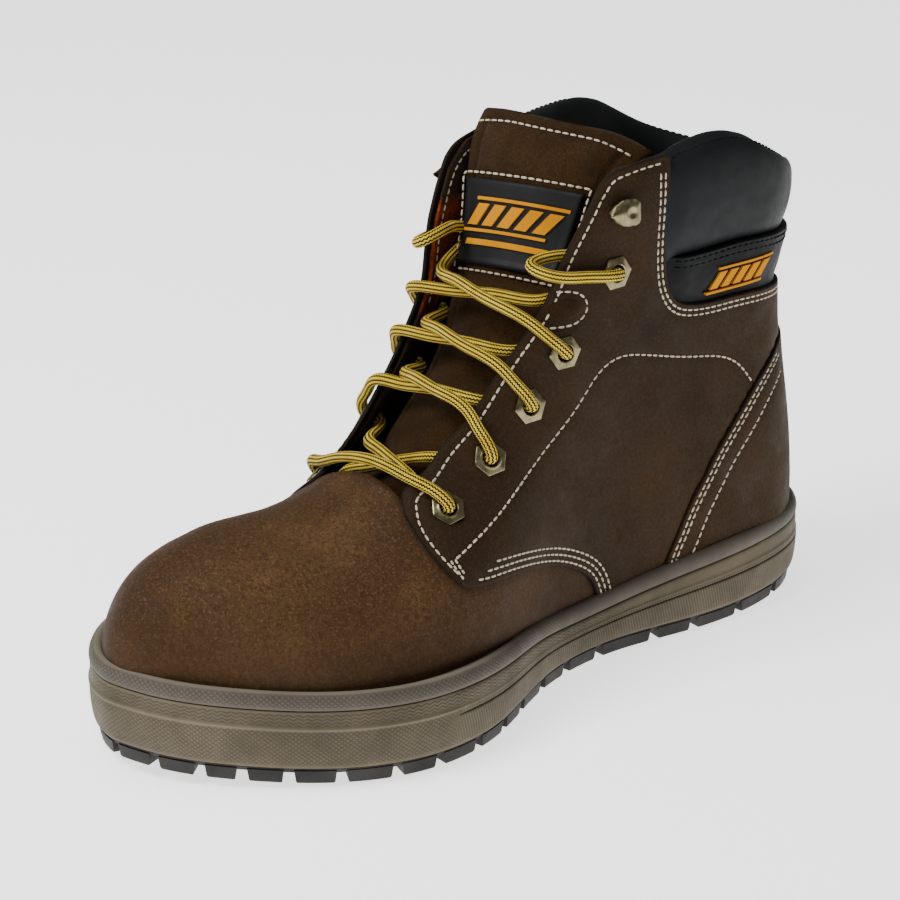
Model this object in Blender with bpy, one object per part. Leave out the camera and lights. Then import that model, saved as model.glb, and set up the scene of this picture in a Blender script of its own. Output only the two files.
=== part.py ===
"""Steel toe work boot, left foot, as separate pieces on one shared last surface.

World units are metres, +Z up, toe towards -Y, lateral (outer) side towards +X, and the
lowest tread faces rest on z = 0. Shapes are written in millimetres in boot coordinates:
s runs forward from the back of the heel, x sideways from the heel's centre line, z up.
The upper is one smooth surface, x = centre(s) +/- half_width(s, z). Every layer of the
upper is that surface moved inwards by a depth, and every panel is a layer cut to an
outline drawn in the side view (s, z).
"""

import math

import bpy
import numpy as np
from mathutils import Matrix, Vector

MM = 0.001
GAP = 0.3                # play between neighbouring pieces
LENGTH = 316.0           # sole, heel to toe
HEEL_LINE = -3.1         # world x of the heel's centre line
CUP_BOTTOM = 6.2         # underside of the rubber cup
CUP_FLOOR = 12.0         # top of the cup's floor
RIM_TOP = 34.0           # rim of the cup away from the waist
RIM_HEIGHT = 6.0         # height of the bead at the rim
TOE_SPRING = 5.6         # rise of the sole at the toe tip
SPRING_START = 225.0
UPPER_BOTTOM = 21.0      # lower edge of the lasted upper
UPPER_ZERO = 20.0        # level that the upper's side shape is measured from
TOE_TIP = 313.0          # front end of the upper
TOE_SHIFT = -8.0         # sideways drift of the centre line at the toe
FLAP_LEAN = 12.0         # forward lean of the medial flap at its top
LEATHER = 2.0            # thickness of the outer leather
MIDDLE = (2.4, 4.2)      # depths of the stiffener layer
LINING = (4.5, 5.8)      # depths of the lining layer
LACE_RADIUS = 2.1
LACE_DEPTH = 6.6         # depth of the lace under the eyestay
HALF_COUNT = 13          # stations along one side of a ring

LEVELS = (21, 32, 44, 55, 64, 70, 74.5, 79, 88, 100, 116, 134, 152, 168, 184, 200)

# Eyelets from the bottom up, and the speed hook, as (s, z) on either side.
EYELETS = ((203, 81), (181, 93), (161, 107.5), (146, 124.5), (124, 150))
HOOK = (122, 172)

MATERIALS = {
    "brown_leather": ((0.075, 0.042, 0.022), 0.75, 0.0),
    "dark_leather": ((0.046, 0.027, 0.017), 0.75, 0.0),
    "suede": ((0.05, 0.029, 0.014), 0.95, 0.0),
    "rust_suede": ((0.42, 0.1, 0.015), 0.95, 0.0),
    "black_synthetic": ((0.02, 0.024, 0.026), 0.5, 0.0),
    "black_fabric": ((0.014, 0.014, 0.015), 0.9, 0.0),
    "foam": ((0.25, 0.24, 0.22), 0.95, 0.0),
    "taupe_rubber": ((0.16, 0.135, 0.095), 0.7, 0.0),
    "rim_rubber": ((0.11, 0.095, 0.075), 0.6, 0.0),
    "black_rubber": ((0.03, 0.026, 0.023), 0.8, 0.0),
    "board": ((0.45, 0.38, 0.28), 0.9, 0.0),
    "grey_polymer": ((0.3, 0.3, 0.3), 0.6, 0.0),
    "steel": ((0.55, 0.55, 0.57), 0.35, 1.0),
    "antique_brass": ((0.25, 0.21, 0.13), 0.4, 1.0),
    "yellow_rubber": ((0.7, 0.42, 0.04), 0.6, 0.0),
    "lace_yellow": ((0.6, 0.5, 0.12), 0.85, 0.0),
}


# ---------------------------------------------------------------- curves

def smooth(points, count=400):
    """Points along the natural cubic spline through points, by chord length."""
    p = np.array(points, float)
    step = np.linalg.norm(np.diff(p, axis=0), axis=1)
    knots = np.concatenate([[0.0], np.cumsum(step)])
    n = len(p)
    matrix = np.eye(n)
    right = np.zeros_like(p)
    for i in range(1, n - 1):
        matrix[i, i - 1:i + 2] = step[i - 1], 2 * (step[i - 1] + step[i]), step[i]
        right[i] = 6 * ((p[i + 1] - p[i]) / step[i] - (p[i] - p[i - 1]) / step[i - 1])
    second = np.linalg.solve(matrix, right)
    t = np.linspace(0, knots[-1], count)
    k = np.clip(np.searchsorted(knots, t, side="right") - 1, 0, n - 2)
    h = step[k][:, None]
    a = (knots[k + 1] - t)[:, None]
    b = (t - knots[k])[:, None]
    bend = (second[k] * a ** 3 + second[k + 1] * b ** 3) / (6 * h)
    return bend + (p[k] / h - second[k] * h / 6) * a + (p[k + 1] / h - second[k + 1] * h / 6) * b


def profile(points):
    """A smooth function through points, which must rise in their first number."""
    curve = smooth(points)
    return lambda value: np.interp(value, curve[:, 0], curve[:, 1])


def ease(t):
    t = np.clip(t, 0, 1)
    return t * t * (3 - 2 * t)


# ---------------------------------------------------------------- the last surface

back_edge = profile([(10, 8), (34, 5), (60, 7), (90, 12), (120, 16), (145, 16.5),
                     (165, 15), (190, 16), (220, 20)])
RIDGE = smooth([(60, 330), (95, 265), (120, 225), (136, 204), (146, 186), (153, 168), (163, 151),
                (178, 129), (192, 111), (206, 97), (220, 86), (235, 79.5), (250, 76.5),
                (265, 74.5), (280, 71.5), (294, 65.5), (305, 56), (311, 44), (313, 30)])
lateral_plan = profile([(0, 31), (20, 37), (50, 39.5), (85, 38.5), (120, 34.5), (155, 39),
                        (190, 53), (220, 60), (250, 57), (280, 46), (312, 26)])
medial_plan = profile([(0, 31), (20, 37), (50, 38.5), (85, 34), (120, 29.5), (155, 33),
                       (190, 43), (220, 49), (250, 50), (280, 48), (312, 40)])
lateral_shaft = profile([(20, 37), (50, 37), (80, 36), (105, 36), (130, 37.5), (160, 40.5),
                         (180, 43), (200, 44), (220, 44)])
medial_shaft = profile([(20, 37), (50, 37), (80, 36), (105, 36), (130, 38), (160, 41.5),
                        (180, 45.5), (200, 47.5), (220, 48)])


def ridge(s):
    return np.interp(s, RIDGE[:, 0], RIDGE[:, 1])


def ridge_front(z):
    return np.interp(z, RIDGE[::-1, 1], RIDGE[::-1, 0])


def spring(s):
    """Rise of the sole towards the toe."""
    return TOE_SPRING * (np.clip(s - SPRING_START, 0, None) / (LENGTH - SPRING_START)) ** 2


def centre(s):
    return TOE_SHIFT * np.clip((np.asarray(s, float) - 170) / (TOE_TIP - 170), 0, 1) ** 1.5


def lean(s, z, side):
    """How far the surface leans forward: the top of the medial flap stands more open."""
    if side > 0:
        return 0.0 * s
    return FLAP_LEAN * ease((z - 110) / 75) * ease((s - 101) / 30)


def half_width(s, z, side):
    plan = lateral_plan(s) if side > 0 else medial_plan(s)
    shaft = lateral_shaft(z) if side > 0 else medial_shaft(z)
    lift = ease((z - 60) / 60) * ease((235 - s) / 50)
    width = plan * (1 - lift) + shaft * lift
    heel = (1 - np.clip((45 - (s - back_edge(z))) / 45, 0, 1) ** 2.3) ** (1 / 2.1)
    toe = (1 - np.clip((s - (TOE_TIP - 62)) / 62, 0, 1) ** 2.2) ** 0.5
    height = np.clip((z - UPPER_ZERO) / np.maximum(ridge(s) - UPPER_ZERO, 1), 0, 1)
    power = np.interp(s, [100, 150, 200, 250, 300], [5.5, 3.8, 2.6, 2.5, 2.8])
    return width * heel * toe * (1 - height ** power) ** (1 / 2.1)


def world(s, x, z):
    """Boot coordinates in millimetres to world millimetres."""
    s, x, z = np.broadcast_arrays(np.asarray(s, float), x, z)
    return np.stack([x + HEEL_LINE, LENGTH / 2 - s, z], -1)


def on_upper(s, z, side, depth=0.0):
    """A point at a depth under the upper's surface, and the outward normal there."""
    def point(s_, z_):
        return world(s_ + lean(s_, z_, side), centre(s_) + side * half_width(s_, z_, side), z_)
    forward = point(s + 0.5, z) - point(s - 0.5, z)
    upward = point(s, z + 0.5) - point(s, z - 0.5)
    normal = np.cross(upward, forward) * side
    normal = normal / np.linalg.norm(normal)
    return point(s, z) - normal * depth, normal


def ring_stations(back, front):
    t = np.linspace(0, math.pi, HALF_COUNT + 1)
    return back + (front - back) * (1 - np.cos(t)) / 2


def two_sided_ring(s, lateral, medial, z):
    """A closed ring: back, lateral side, front, medial side."""
    z = np.broadcast_to(z, s.shape)
    first = world(s, lateral, z)
    second = world(s, medial, z)[-2:0:-1]
    return np.vstack([first, second])


def upper_rings(depth):
    """Rings of the upper's surface moved inwards by depth, from the bottom up."""
    rings = []
    for level in LEVELS:
        s = ring_stations(back_edge(level) + 0.01, ridge_front(level) - 0.01)
        z = np.maximum(level, UPPER_BOTTOM + spring(s))
        lateral = centre(s) + half_width(s, z, 1)
        medial = centre(s) - half_width(s, z, -1)
        lateral[[0, -1]] = centre(s)[[0, -1]]
        ring = two_sided_ring(s, lateral, medial, z)
        ring[HALF_COUNT + 1:, 1] -= lean(s, z, -1)[-2:0:-1]
        rings.append(ring)
    grid = np.array(rings)
    around = np.roll(grid, -1, axis=1) - np.roll(grid, 1, axis=1)
    upward = np.gradient(grid, axis=0)
    normal = np.cross(upward, around)
    normal /= np.linalg.norm(normal, axis=2)[:, :, None]
    normal[0, :, 2] = 0
    normal[0] /= np.linalg.norm(normal[0], axis=1)[:, None]
    return grid - normal * depth


# ---------------------------------------------------------------- making objects

def material(slot):
    found = bpy.data.materials.get(slot)
    if found:
        return found
    colour, roughness, metallic = MATERIALS[slot]
    made = bpy.data.materials.new(slot)
    made.use_nodes = True
    shader = made.node_tree.nodes["Principled BSDF"]
    shader.inputs["Base Color"].default_value = (*colour, 1)
    shader.inputs["Roughness"].default_value = roughness
    shader.inputs["Metallic"].default_value = metallic
    made.diffuse_color = (*colour, 1)
    return made


def add_object(name, points, faces, slot=None, parent=None):
    """An object from world millimetres, with its material."""
    mesh = bpy.data.meshes.new(name)
    origin = parent.location if parent else Vector((0, 0, 0))
    vertices = [Vector(p) * MM - origin for p in np.asarray(points, float)]
    mesh.from_pydata(vertices, [], faces)
    mesh.validate()
    made = bpy.data.objects.new(name, mesh)
    bpy.context.scene.collection.objects.link(made)
    if slot:
        mesh.materials.append(material(slot))
        mesh.shade_smooth()
        mesh.set_sharp_from_angle(angle=math.radians(35))
    if parent:
        made.parent = parent
    return made


def as_cutter(made):
    made.hide_render = True
    made.display_type = "WIRE"
    return made


def boolean(target, cutter, operation):
    step = target.modifiers.new(operation.lower(), "BOOLEAN")
    step.operation = operation
    step.solver = "EXACT"
    step.object = as_cutter(cutter)


def wall_faces(rows, count, flip=False):
    """Triangles between successive rings of count points, with all diagonals one way."""
    faces = []
    for r in range(rows - 1):
        for j in range(count):
            k = (j + 1) % count
            low, low_next = r * count + j, r * count + k
            high, high_next = low + count, low_next + count
            for face in ((low, high, high_next), (low, high_next, low_next)):
                faces.append(face[::-1] if flip else face)
    return faces


def cap_faces(start, count, up):
    """Strips across a two-sided ring, so that a cap follows the ring's rise."""
    half = count // 2
    faces = []
    for j in range(half):
        left = [start + j, start + j + 1]
        right = [start + (count - j - 1) % count, start + (count - j) % count]
        loop = left + right
        loop = [v for i, v in enumerate(loop) if v not in loop[:i]]
        faces.append(loop if not up else loop[::-1])
    return faces


def stack(name, rings, slot=None, parent=None):
    """A solid between two-sided rings from the bottom up."""
    rings = np.array(rings)
    rows, count = rings.shape[:2]
    faces = wall_faces(rows, count)
    faces += cap_faces(0, count, up=False)
    faces += cap_faces((rows - 1) * count, count, up=True)
    return add_object(name, rings.reshape(-1, 3), faces, slot, parent)


def shell(name, outer, inner, slot):
    """The solid between two sets of rings, open at the top and the bottom."""
    rows, count = outer.shape[:2]
    total = rows * count
    faces = wall_faces(rows, count)
    faces += [tuple(v + total for v in f) for f in wall_faces(rows, count, flip=True)]
    for row, flip in ((0, False), (rows - 1, True)):
        for j in range(count):
            a = row * count + j
            b = row * count + (j + 1) % count
            quad = (a, b, b + total, a + total)
            faces.append(quad[::-1] if flip else quad)
    return add_object(name, np.vstack([outer.reshape(-1, 3), inner.reshape(-1, 3)]), faces, slot)


def thick_sheet(name, grid, depth, slot, parent=None):
    """A solid sheet between grid and grid moved back along its normals.

    grid is (rows, columns, 3), with rows going up and columns towards +X.
    """
    across = np.gradient(grid, axis=1)
    upward = np.gradient(grid, axis=0)
    normal = np.cross(across, upward)
    normal /= np.linalg.norm(normal, axis=2)[:, :, None]
    front = grid - normal * depth[0]
    rear = grid - normal * depth[1]
    rows, columns = grid.shape[:2]
    total = rows * columns
    faces = []
    for r in range(rows - 1):
        for c in range(columns - 1):
            a = r * columns + c
            quad = (a, a + 1, a + columns + 1, a + columns)
            faces.append(quad)
            faces.append(tuple(v + total for v in quad[::-1]))
    edge = list(range(columns))
    edge += [r * columns + columns - 1 for r in range(1, rows)]
    edge += [(rows - 1) * columns + c for c in range(columns - 2, -1, -1)]
    edge += [r * columns for r in range(rows - 2, 0, -1)]
    for a, b in zip(edge, edge[1:] + edge[:1]):
        faces.append((a, a + total, b + total, b))
    points = np.vstack([front.reshape(-1, 3), rear.reshape(-1, 3)])
    return add_object(name, points, faces, slot, parent)


def turned(outline, axis_count, name, slot, matrix):
    """A ring-shaped piece: outline is closed, each point a function of the angle."""
    angles = np.linspace(0, 2 * math.pi, axis_count, endpoint=False)
    loops = []
    for radius, height in outline:
        r = np.array([radius(a) if callable(radius) else radius for a in angles])
        loops.append(np.stack([r * np.cos(angles), r * np.sin(angles),
                               np.full(axis_count, height)], -1))
    rows = len(loops)
    faces = []
    for i in range(rows):
        for j in range(axis_count):
            a = i * axis_count + j
            b = i * axis_count + (j + 1) % axis_count
            up = ((i + 1) % rows) * axis_count
            faces.append((a, b, up + (j + 1) % axis_count, up + j))
    made = add_object(name, np.vstack(loops), faces, slot)
    made.matrix_world = matrix
    return made


def seat_matrix(s, z, side, lean=0.0):
    """World matrix at the upper's surface: local Z outwards, local X up the eyestay."""
    point, normal = on_upper(s, z, side)
    axis_z = Vector(normal).normalized()
    up_edge = Vector((0, math.sin(lean), math.cos(lean)))
    axis_x = (up_edge - axis_z * up_edge.dot(axis_z)).normalized()
    axis_y = axis_z.cross(axis_x)
    rotation = Matrix((axis_x, axis_y, axis_z)).transposed().to_4x4()
    return Matrix.Translation(Vector(point) * MM) @ rotation


# ---------------------------------------------------------------- outlines in the side view

def inset(outline, amount=0.2):
    """A closed outline moved inwards by amount, whichever way it runs."""
    p = np.array(outline, float)
    before = p - np.roll(p, 1, axis=0)
    after = np.roll(p, -1, axis=0) - p
    before /= np.linalg.norm(before, axis=1)[:, None]
    after /= np.linalg.norm(after, axis=1)[:, None]
    x, y = p[:, 0], p[:, 1]
    turn = np.sign(np.sum(x * np.roll(y, -1) - y * np.roll(x, -1)))
    left_before = np.stack([-before[:, 1], before[:, 0]], -1) * turn
    left_after = np.stack([-after[:, 1], after[:, 0]], -1) * turn
    mitre = left_before + left_after
    scale = 2 / np.maximum(np.sum(mitre ** 2, axis=1), 0.8)
    return p + mitre * scale[:, None] * amount


def prism(name, outline, low_x, high_x):
    """A cutter: a side-view outline run from low_x to high_x of the heel line."""
    p = np.array(outline, float)
    x, y = p[:, 0], p[:, 1]
    if np.sum(x * np.roll(y, -1) - y * np.roll(x, -1)) < 0:
        p = p[::-1]
    count = len(p)
    near = world(p[:, 0] + lean(p[:, 0], p[:, 1], low_x), low_x, p[:, 1])
    far = world(p[:, 0] + lean(p[:, 0], p[:, 1], high_x), high_x, p[:, 1])
    faces = [tuple(range(count)), tuple(range(2 * count - 1, count - 1, -1))]
    for j in range(count):
        k = (j + 1) % count
        faces.append((j, j + count, k + count, k))
    return add_object(name, np.vstack([near, far]), faces)


FAR = 120.0              # beyond the boot sideways
BELOW = 10.0             # under the upper's lower edge
BEHIND = -10.0           # behind the heel
BACK_STRIP_HALF = 14.0   # half width of the strip over the back seam

EYESTAY_EDGE = smooth([(216.4, 80), (213, 85), (204, 90.6), (195, 97), (185, 104), (177, 111.5),
                       (164.5, 125.6), (152.5, 140), (144.5, 156.5), (136, 170), (129, 181)], 14)
EYESTAY_TOP = ((125, 184.8), (119, 187), (112, 188.6), (104, 189.6))
VAMP_SEAM = smooth([(209, 58), (214.6, 66.4), (216.8, 73.8), (216.4, 80)], 5)
QUARTER_HEM = smooth([(209, 58), (201, 56.4), (191, 55.5), (178, 53.3), (163.4, 49.2),
                      (149.5, 44.2), (140, 39.5), (131.6, 33), (127, 24)], 10)
HEEL_SEAM = smooth([(96, BELOW), (95, 32), (90.7, 40.7), (86, 50), (79.5, 60), (72, 70.4),
                    (61, 81.6), (51, 91), (34, 101), (18, 105)], 10)
COLLAR_SEAM = smooth([(101, 189.5), (101, 170), (100.3, 150), (98, 140), (93, 133.4),
                      (84, 130.2), (60, 129), (34, 126.5), (14, 124.5)], 12)
PANEL_TOP = smooth([(100.6, 151), (83, 150.6), (62, 151), (33, 148.5), (14, 147)], 5)
COLLAR_TOP = smooth([(101, 189.8), (93, 191.8), (85, 193.8), (76, 195), (66, 192.5),
                     (55, 183.7), (45, 179), (30, 174.5), (12, 169.5)], 10)
EYELET_BACK = ((109, 188.6), (110, 176), (113, 146), (136, 117), (153, 98), (174, 83.5), (193, 69.5))


def joined(*runs):
    """One outline from runs of points, leaving out points that repeat."""
    points = []
    for run in runs:
        for point in run:
            if not points or math.dist(point, points[-1]) > 0.4:
                points.append(tuple(point))
    if math.dist(points[0], points[-1]) < 0.4:
        points.pop()
    return points


def ellipse(s, z, half_s, half_z, count=16):
    turn = np.linspace(0, 2 * math.pi, count, endpoint=False)
    return [(s + half_s * math.cos(a), z + half_z * math.sin(a)) for a in turn]


# ---------------------------------------------------------------- the sole

SOLE_LATERAL = smooth([(0, -1), (3, 14), (14, 30.5), (40, 42.3), (80, 44), (120, 38.3), (160, 44.5),
                       (200, 62.3), (228, 65.6), (262, 55), (290, 33.5), (310, 8), (316, -10)])
SOLE_MEDIAL = smooth([(0, -1), (3, -14), (14, -29), (40, -42), (80, -40), (120, -34.5), (160, -38),
                      (200, -51), (230, -57.5), (258, -59), (285, -52.5), (304, -36.5), (313, -22),
                      (316, -10)])


def sole_ring(move_in, z, rise=True):
    """A ring of the sole's outline moved inwards, with the toe's spring on z."""
    sides = []
    for curve, sign in ((SOLE_LATERAL, 1), (SOLE_MEDIAL, -1)):
        run = np.gradient(curve, axis=0)
        run /= np.linalg.norm(run, axis=1)[:, None]
        inward = np.stack([run[:, 1], -run[:, 0]], -1) * sign
        sides.append(curve + inward * move_in)
    back = max(side[0, 0] for side in sides)
    front = min(side[-1, 0] for side in sides)
    s = ring_stations(back, front)
    across = [np.interp(s, side[:, 0], side[:, 1]) for side in sides]
    meet_back = (across[0][0] + across[1][0]) / 2
    meet_front = (across[0][-1] + across[1][-1]) / 2
    across[0][0] = meet_back
    across[0][-1] = meet_front
    height = z(s) if callable(z) else np.full(s.shape, float(z))
    if rise:
        height = height + spring(s)
    return two_sided_ring(s, across[0], across[1], height)


def rim_height(s):
    """Top of the rim: it dips in the waist."""
    return RIM_TOP - 8 * np.exp(-((s - 135) / 45) ** 2)


def cup_level(share):
    """Height at a share of the way from the cup's bottom to the bead."""
    return lambda s: CUP_BOTTOM + share * (rim_height(s) - RIM_HEIGHT - GAP / 2 - CUP_BOTTOM)


def make_foot_hollow():
    """The space that the upper takes in the cup, as a cutter."""
    rings = upper_rings(-GAP - 0.1)
    floor = rings[0].copy()
    floor[:, 2] = CUP_FLOOR + spring(LENGTH / 2 - floor[:, 1])
    return as_cutter(stack("foot_hollow", [floor, *rings[:7]]))


def make_cupsole(hollow):
    layers = ((2.2, 0.0), (0.9, 0.14), (0.0, 0.55), (0.3, 0.8), (0.8, 1.0))
    made = stack("cupsole", [sole_ring(d, cup_level(share)) for d, share in layers], "taupe_rubber")
    boolean(made, hollow, "DIFFERENCE")


def make_upper_rim(hollow):
    def level(share):
        return lambda s: rim_height(s) - RIM_HEIGHT * (1 - share) + GAP / 2
    layers = ((0.9, 0.0), (0.7, 0.4), (1.3, 0.85), (2.6, 1.0))
    made = stack("upper_rim", [sole_ring(d, level(share)) for d, share in layers], "rim_rubber")
    boolean(made, hollow, "DIFFERENCE")


def box_points(centre_point, along, across, low, high):
    """Corners of a box standing on the ground plane directions along and across."""
    corners = []
    for z in (low, high):
        for a, b in ((-1, -1), (1, -1), (1, 1), (-1, 1)):
            corner = centre_point + along * a + across * b
            corners.append((corner[0], corner[1], z))
    return corners


BOX_FACES = ((3, 2, 1, 0), (4, 5, 6, 7), (0, 1, 5, 4), (1, 2, 6, 5), (2, 3, 7, 6), (3, 0, 4, 7))
EDGE_GROOVES = (34, 58.5, 82.5, 101, 127, 145, 161, 178, 192.5, 209.5, 228.5, 245.5, 264, 279, 291, 301)
CENTRE_GROOVES = (34, 56, 78, 160, 181, 202, 223, 244, 265)
GROOVE_DEPTH = 4.2


def make_outsole():
    rings = [sole_ring(3.6, 0), sole_ring(2.4, CUP_BOTTOM - GAP)]
    made = stack("outsole", rings, "black_rubber")
    points = []
    faces = []

    def groove(corners):
        faces.extend(tuple(v + len(points) for v in face) for face in BOX_FACES)
        points.extend(corners)

    for curve in (SOLE_LATERAL, SOLE_MEDIAL):
        run = np.gradient(curve, axis=0)
        for s in EDGE_GROOVES:
            k = int(np.argmin(np.abs(curve[:, 0] - s)))
            spot = world(curve[k, 0], curve[k, 1], 0)[:2]
            along = np.array([run[k, 1], -run[k, 0]])
            along /= np.linalg.norm(along)
            across = np.array([-along[1], along[0]])
            side = 1 if curve is SOLE_LATERAL else -1
            middle = spot + across * side * -4.0
            rise = float(spring(s))
            groove(box_points(middle, along * 1.4, across * side * 9, rise - 6, rise + GROOVE_DEPTH))
    for s in CENTRE_GROOVES:
        low = float(np.interp(s, SOLE_MEDIAL[:, 0], SOLE_MEDIAL[:, 1])) + 19
        high = float(np.interp(s, SOLE_LATERAL[:, 0], SOLE_LATERAL[:, 1])) - 19
        spot = world(s, (low + high) / 2, 0)[:2]
        rise = float(spring(s))
        groove(box_points(spot, np.array([(high - low) / 2, 0]), np.array([0, 1.6]),
                          rise - 6, rise + GROOVE_DEPTH - 1))
    boolean(made, add_object("grooves", points, faces), "DIFFERENCE")


def inner_ring(move_in, level):
    """The upper's lower outline moved inwards, at a level that follows the toe's spring."""
    ring = upper_rings(move_in)[0]
    ring[:, 2] = level + spring(LENGTH / 2 - ring[:, 1])
    return ring


def make_inner_sole(footbed_axis):
    stack("cushion_core", [inner_ring(0.6, CUP_FLOOR + GAP), inner_ring(0.6, 16.6)], "foam")
    shank_s = ring_stations(62, 188)
    shank_half = 9 * np.sin(np.linspace(0, math.pi, HALF_COUNT + 1)) ** 0.4
    shank = [two_sided_ring(shank_s, shank_half, -shank_half, z) for z in (16.9, 18.4)]
    stack("shank", shank, "steel")
    stack("insole_board", [inner_ring(0.6, 18.7), inner_ring(0.6, 20.6)], "board")
    bed = [inner_ring(8.4, 21.4), inner_ring(7.6, 24.5)]
    stack("footbed", bed, "foam", footbed_axis)
    cover = [inner_ring(7.6, 24.8), inner_ring(8.2, 26.0)]
    stack("footbed_cover", cover, "black_fabric", footbed_axis)


# ---------------------------------------------------------------- the upper

def layer(name, top, bottom, slot):
    return shell(name, upper_rings(top), upper_rings(bottom), slot)


def panel(name, depths, slot, outline, low_x=-FAR, high_x=FAR):
    """A layer of the upper cut to an outline; the outline keeps its play to others."""
    made = layer(name, depths[0], depths[1], slot)
    boolean(made, prism(name + "_outline", inset(outline), low_x, high_x), "INTERSECT")
    return made


def sided(side, near):
    """Sideways range of a cutter on one side, starting near the centre line."""
    return (near, FAR) if side > 0 else (-FAR, -near)


def hole_rods(name, radii):
    """Rods through the upper at the eyelets and the hook on one side, as a cutter."""
    points = []
    faces = []
    count = 10
    side = 1 if name.endswith("lateral") else -1
    for (s, z), radius in zip((*EYELETS, HOOK), radii):
        seat = seat_matrix(s, z, side)
        start = len(points)
        for height in (-7, 5):
            for j in range(count):
                a = 2 * math.pi * j / count
                spot = Vector((radius * math.cos(a), radius * math.sin(a), height)) * MM
                points.append(tuple((seat @ spot) / MM))
        faces.append(tuple(range(start + count - 1, start - 1, -1)))
        faces.append(tuple(range(start + count, start + 2 * count)))
        for j in range(count):
            k = (j + 1) % count
            faces.append((start + j, start + k, start + count + k, start + count + j))
    return as_cutter(add_object(name, points, faces))


EYELET_HOLE = 3.8
RIVET_HOLE = 2.1
FLEX_OVAL = (144.5, 140, 6.2, 4.0)


def make_vamp():
    throat = ((216, 83), (215, 120), (330, 120), (330, BELOW), (127, BELOW))
    outline = joined(QUARTER_HEM[::-1], VAMP_SEAM, throat)
    panel("vamp", (0, LEATHER), "brown_leather", outline)


def make_quarter(side, tag):
    rear = ((BEHIND, 124.3), (BEHIND, 106.5))
    outline = joined(EYESTAY_EDGE, EYESTAY_TOP, COLLAR_SEAM, rear, HEEL_SEAM[::-1],
                     ((127, BELOW),), QUARTER_HEM[::-1], VAMP_SEAM)
    made = panel("quarter_" + tag, (0, LEATHER), "dark_leather", outline,
                 *sided(side, BACK_STRIP_HALF + GAP / 2))
    radii = [EYELET_HOLE] * len(EYELETS) + [RIVET_HOLE]
    boolean(made, hole_rods("quarter_holes_" + tag, radii), "DIFFERENCE")
    s, z, half_s, half_z = FLEX_OVAL
    window = prism("flex_window_" + tag, ellipse(s, z, half_s, half_z), *sided(side, 8))
    boolean(made, window, "DIFFERENCE")
    insert = ellipse(s, z, half_s - GAP, half_z - GAP)
    panel("flex_insert_" + tag, (0.8, 1.8), "suede", insert, *sided(side, 8))
    facing = joined(EYESTAY_EDGE[1:], EYESTAY_TOP[:3], EYELET_BACK)
    made = panel("eyestay_facing_" + tag, (2.4, 3.6), "rust_suede", inset(facing, 0.8),
                 *sided(side, 8))
    boolean(made, hole_rods("facing_holes_" + tag, radii), "DIFFERENCE")


def make_heel_and_back():
    under = ((BEHIND, 106.5), (BEHIND, BELOW))
    outline = joined(HEEL_SEAM, under)
    panel("heel_cover", (0, LEATHER), "dark_leather", outline)
    lower = joined(HEEL_SEAM[-1:], ((70, 96), (70, 147)), PANEL_TOP[-1:],
                   ((BEHIND, 146), (BEHIND, 106.5)))
    panel("backstay_strip", (0, LEATHER), "black_synthetic", lower,
          -BACK_STRIP_HALF + GAP / 2, BACK_STRIP_HALF - GAP / 2)


def make_collar():
    wrap = joined(COLLAR_TOP, ((BEHIND, 166), (BEHIND, 146)), PANEL_TOP[::-1])
    panel("collar_cover", (0, 1.2), "black_synthetic", wrap)
    panel("collar_foam", (1.6, 4.2), "foam", inset(wrap, 1.2))
    for side, tag in ((1, "lateral"), (-1, "medial")):
        under_panel = [point for point in COLLAR_SEAM[::-1] if point[1] < 149]
        outline = joined(PANEL_TOP, ((BEHIND, 146), (BEHIND, 124.3)), under_panel)
        panel("ankle_panel_" + tag, (0.3, 1.7), "black_synthetic", outline,
              *sided(side, BACK_STRIP_HALF + GAP / 2))
    badge = ((78, 143.5), (45, 142.5), (43, 131), (76.5, 133))
    panel("side_badge", (-0.8, 0), "yellow_rubber", badge, 5, FAR)


def make_stiffeners():
    cap = ((262, BELOW), (262, 60), (268, 100), (330, 100), (330, BELOW))
    panel("steel_toe_cap", MIDDLE, "steel", cap)
    strip = ((256, BELOW), (256, 60), (262, 100), (268, 100), (262, 60), (262, BELOW))
    panel("toe_cap_strip", MIDDLE, "black_rubber", strip)
    counter = ((BEHIND, BELOW), (88, BELOW), (74, 45), (48, 72), (BEHIND, 82))
    panel("heel_stiffener", MIDDLE, "grey_polymer", counter)


def make_linings():
    front = ((152, BELOW), (152, 57), (185, 66), (212, 78), (217, 84), (217, 120),
             (330, 120), (330, BELOW))
    panel("vamp_lining", LINING, "black_fabric", front)
    heel = ((BEHIND, BELOW), (88, BELOW), (88, 40), (62, 76), (30, 90), (BEHIND, 92))
    panel("heel_lining", LINING, "suede", heel)
    for side, tag in ((1, "lateral"), (-1, "medial")):
        outline = joined(COLLAR_TOP, ((BEHIND, 166), (BEHIND, 92), (30, 90), (62, 76), (88, 40),
                                      (88, BELOW), (152, BELOW), (152, 57), (185, 66)),
                         EYELET_BACK[::-1])
        panel("lining_" + tag, LINING, "black_fabric", outline, *sided(side, GAP / 2))


# ---------------------------------------------------------------- metal fittings

def hexagon(across_flats):
    """Radius of a hexagon at an angle, with a corner on the local X axis."""
    def radius(angle):
        turn = (angle + math.pi / 6) % (math.pi / 3) - math.pi / 6
        return across_flats / 2 / math.cos(math.pi / 6 - abs(turn))
    return radius


def make_eyelets(side, tag):
    rim = hexagon(10.6)
    outline = ((3.4, -3.9), (3.0, -3.9), (3.0, 1.7), (rim, 1.5), (rim, 0.7), (3.4, 0.7))
    for number, (s, z) in enumerate(EYELETS, 1):
        turned(outline[::-1], 12, f"eyelet_{tag}_{number}", "antique_brass",
               seat_matrix(s, z, side, lean=-0.6))


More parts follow.
